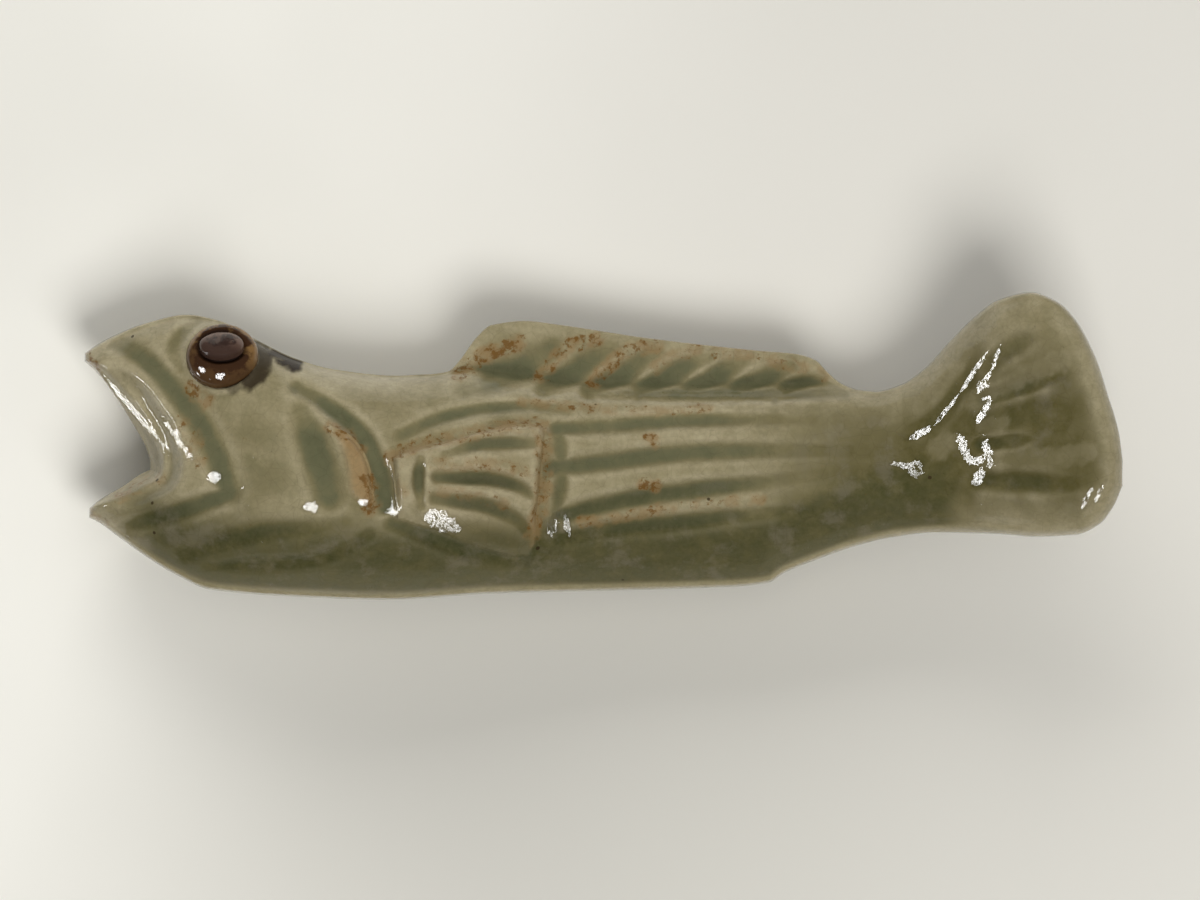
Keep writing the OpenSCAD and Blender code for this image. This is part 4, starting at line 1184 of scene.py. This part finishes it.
celadonGlaze = celadon("celadonGlaze", tones["beige"], 0.0, 1.0)
fishBody.data.materials.append(celadonGlaze)
dorsalFin.data.materials.append(celadonGlaze)
tailFin.data.materials.append(celadon("oliveGlaze", tones["olive"], 0.1, 1.0))
rustEdgedGlaze = celadon("rustEdgedGlaze", tones["tan"], 0.04, 0.8)
pectoralFin.data.materials.append(rustEdgedGlaze)
gillCover.data.materials.append(rustEdgedGlaze)


def eyeGlaze(name, dark, light, level, rough, darkRun=0.8):
    # iron glaze that breaks lighter on the rim, runs dark down one side and gathers in the moat
    material, tree, at = newMaterial(name)
    run = mask(tree, "run")
    patch = ranged(tree, noise(tree, at, *patterns["patch"]), *steps["patch"])
    edge = maths(tree, "ADD", ranged(tree, mask(tree, "rim"), level, 1.0, 0.0, 0.8), patch)
    colour = blend(tree, ranged(tree, edge, *steps["edge"]), dark, light)
    colour = blend(tree, maths(tree, "MULTIPLY", run, darkRun), colour, dark)
    ringed = maths(tree, "MULTIPLY", mask(tree, "hollow"), ranged(tree, run, *steps["ring"]))
    colour = blend(tree, ringed, colour, tones["moat"])
    finishMaterial(tree, put(tree, "ShaderNodeBsdfPrincipled", {
        "Base Color": colour, "Roughness": rough, "Normal": skinNormal(tree, at, 1.0),
        "IOR": surfaces["eyeIndex"]}))
    return material


ironGlaze = eyeGlaze(
    "ironGlaze", dark=(0.042, 0.018, 0.007, 1), light=(0.21, 0.118, 0.042, 1), level=0.64, rough=0.06)
plumGlaze = eyeGlaze(
    "plumGlaze", dark=(0.034, 0.017, 0.012, 1), light=(0.13, 0.078, 0.056, 1), level=0.3, rough=0.2)
eyeball.data.materials.append(ironGlaze)
pupilPellet.data.materials.append(plumGlaze)
print("glazes made")

# Table: a pale laminate, stage only
table = dict(
    size=3.0,
    drop=0.02 * mm,
    paintedLitSide=(0.97, 0.95, 0.87, 1),
    colour=(0.775, 0.752, 0.685, 1),
    smudge=(0.7, 0.68, 0.61, 1),
    shaded=(0.6, 0.583, 0.525, 1),
    slant=0.3,  # how far the painted falloff of light, brighter on the left, slants
    shadeAt=-0.032,  # a broad soft painted shadow lies below the fish
    shadeLength=0.8,
)
mesh = bpy.data.meshes.new("table")
r = table["size"] / 2
mesh.from_pydata([(-r, -r, 0), (r, -r, 0), (r, r, 0), (-r, r, 0)], [], [(0, 1, 2, 3)])
tableTop = bpy.data.objects.new("table", mesh)
bpy.context.scene.collection.objects.link(tableTop)
tableTop.location.z = -table["drop"]
material, tree, at = newMaterial("tableLaminate")
smudges = ranged(tree, noise(tree, at, *patterns["smudges"]), *steps["smudges"])
split = put(tree, "ShaderNodeSeparateXYZ", {0: at}).outputs
# painted light: the laminate is coloured brighter towards the left, standing for light falling off across the
# table
slant = maths(tree, "SUBTRACT", split["X"], maths(tree, "MULTIPLY", split["Y"], table["slant"]))
colour = blend(tree, ranged(tree, slant, *steps["slant"]), table["paintedLitSide"], table["colour"])
# painted shadow: the laminate darkens in a broad soft patch below the fish
away = put(tree, "ShaderNodeCombineXYZ", {
    0: maths(tree, "MULTIPLY", split["X"], table["shadeLength"]),
    1: maths(tree, "SUBTRACT", split["Y"], table["shadeAt"])}).outputs[0]
away = put(tree, "ShaderNodeVectorMath", {0: away}, operation="LENGTH").outputs["Value"]
colour = blend(tree, ranged(tree, away, *steps["shade"]), colour, table["shaded"])
finishMaterial(tree, put(tree, "ShaderNodeBsdfPrincipled", {
    "Base Color": blend(tree, smudges, colour, table["smudge"]), "Roughness": surfaces["tableRoughness"],
    "IOR": surfaces["tableIndex"]}))
mesh.materials.append(material)

# Light: a soft window behind the back of the fish, a broad lamp on its belly side, a ceiling bounce, and the
# tubes, which lie along Y; only the tubes show in the glaze
lamps = dict(
    window=dict(at=(-0.25, 1.3, 0.7), size=(1.2, 0.6), power=13.2, mirrored=False),
    key=dict(at=(0.3, -0.62, 1.0), size=(0.6, 0.6), power=10.0, mirrored=False),
    ceiling=dict(at=(0, 0, 1.2), size=(1.2, 1.2), power=2, mirrored=False),
    tubeLeft=dict(at=tubes[0], size=(0.04, 0.4), power=2.4, mirrored=True),
    tubeRight=dict(at=tubes[1], size=(0.04, 0.4), power=2.4, mirrored=True),
)
for name, lamp in lamps.items():
    light = bpy.data.lights.new(name, "AREA")
    light.shape = "RECTANGLE"
    light.size, light.size_y = lamp["size"]
    light.energy = lamp["power"]
    holder = bpy.data.objects.new(name, light)
    bpy.context.scene.collection.objects.link(holder)
    holder.visible_glossy = lamp["mirrored"]
    holder.visible_diffuse = not lamp["mirrored"]
    x, y, z = holder.location = lamp["at"]
    if lamp["mirrored"]:  # faces the fish but keeps its length along Y
        holder.rotation_euler = (0, np.arctan2(x, z), 0)
    else:  # faces the origin
        holder.rotation_euler = (np.arctan2(np.hypot(x, y), z), 0, np.arctan2(x, -y))

room = dict(air=(0.97, 0.98, 1, 1), lit=0.11, mirrored=0.08, backdrop=(0.78, 0.77, 0.73, 1))
world = bpy.data.worlds.new("room")
bpy.context.scene.world = world
world.use_nodes = True
tree = world.node_tree
tree.nodes.clear()
rays = put(tree, "ShaderNodeLightPath")


def background(colour, strength):
    return put(tree, "ShaderNodeBackground", {"Color": colour, "Strength": strength}).outputs[0]


surroundings = put(tree, "ShaderNodeMixShader", {
    0: rays.outputs["Is Glossy Ray"],
    1: background(room["air"], room["lit"]),
    2: background(room["air"], room["mirrored"])})
chooser = put(tree, "ShaderNodeMixShader", {
    0: rays.outputs["Is Camera Ray"],
    1: surroundings.outputs[0],
    2: background(room["backdrop"], 1.0)})
tree.links.new(chooser.outputs[0], tree.nodes.new("ShaderNodeOutputWorld").inputs["Surface"])

# Camera: almost straight above, leaning a little to the belly side
shot = dict(
    distance=0.62, lean=3.0, width=104.5 * mm, centre=(-0.05 * mm, -0.13 * mm, 6 * mm), sensor=36,
    clip=(0.01, 20))
camera = bpy.data.objects.new("camera", bpy.data.cameras.new("camera"))
bpy.context.scene.collection.objects.link(camera)
bpy.context.scene.camera = camera
lean = np.radians(shot["lean"])
camera.location = np.array(shot["centre"]) + shot["distance"] * np.array([0, -np.sin(lean), np.cos(lean)])
camera.rotation_euler = (lean, 0, 0)
camera.data.sensor_width = shot["sensor"]
camera.data.lens = shot["sensor"] * shot["distance"] / shot["width"]
camera.data.clip_start, camera.data.clip_end = shot["clip"]
bpy.context.scene.view_settings.view_transform = "Standard"
print("light and camera set")
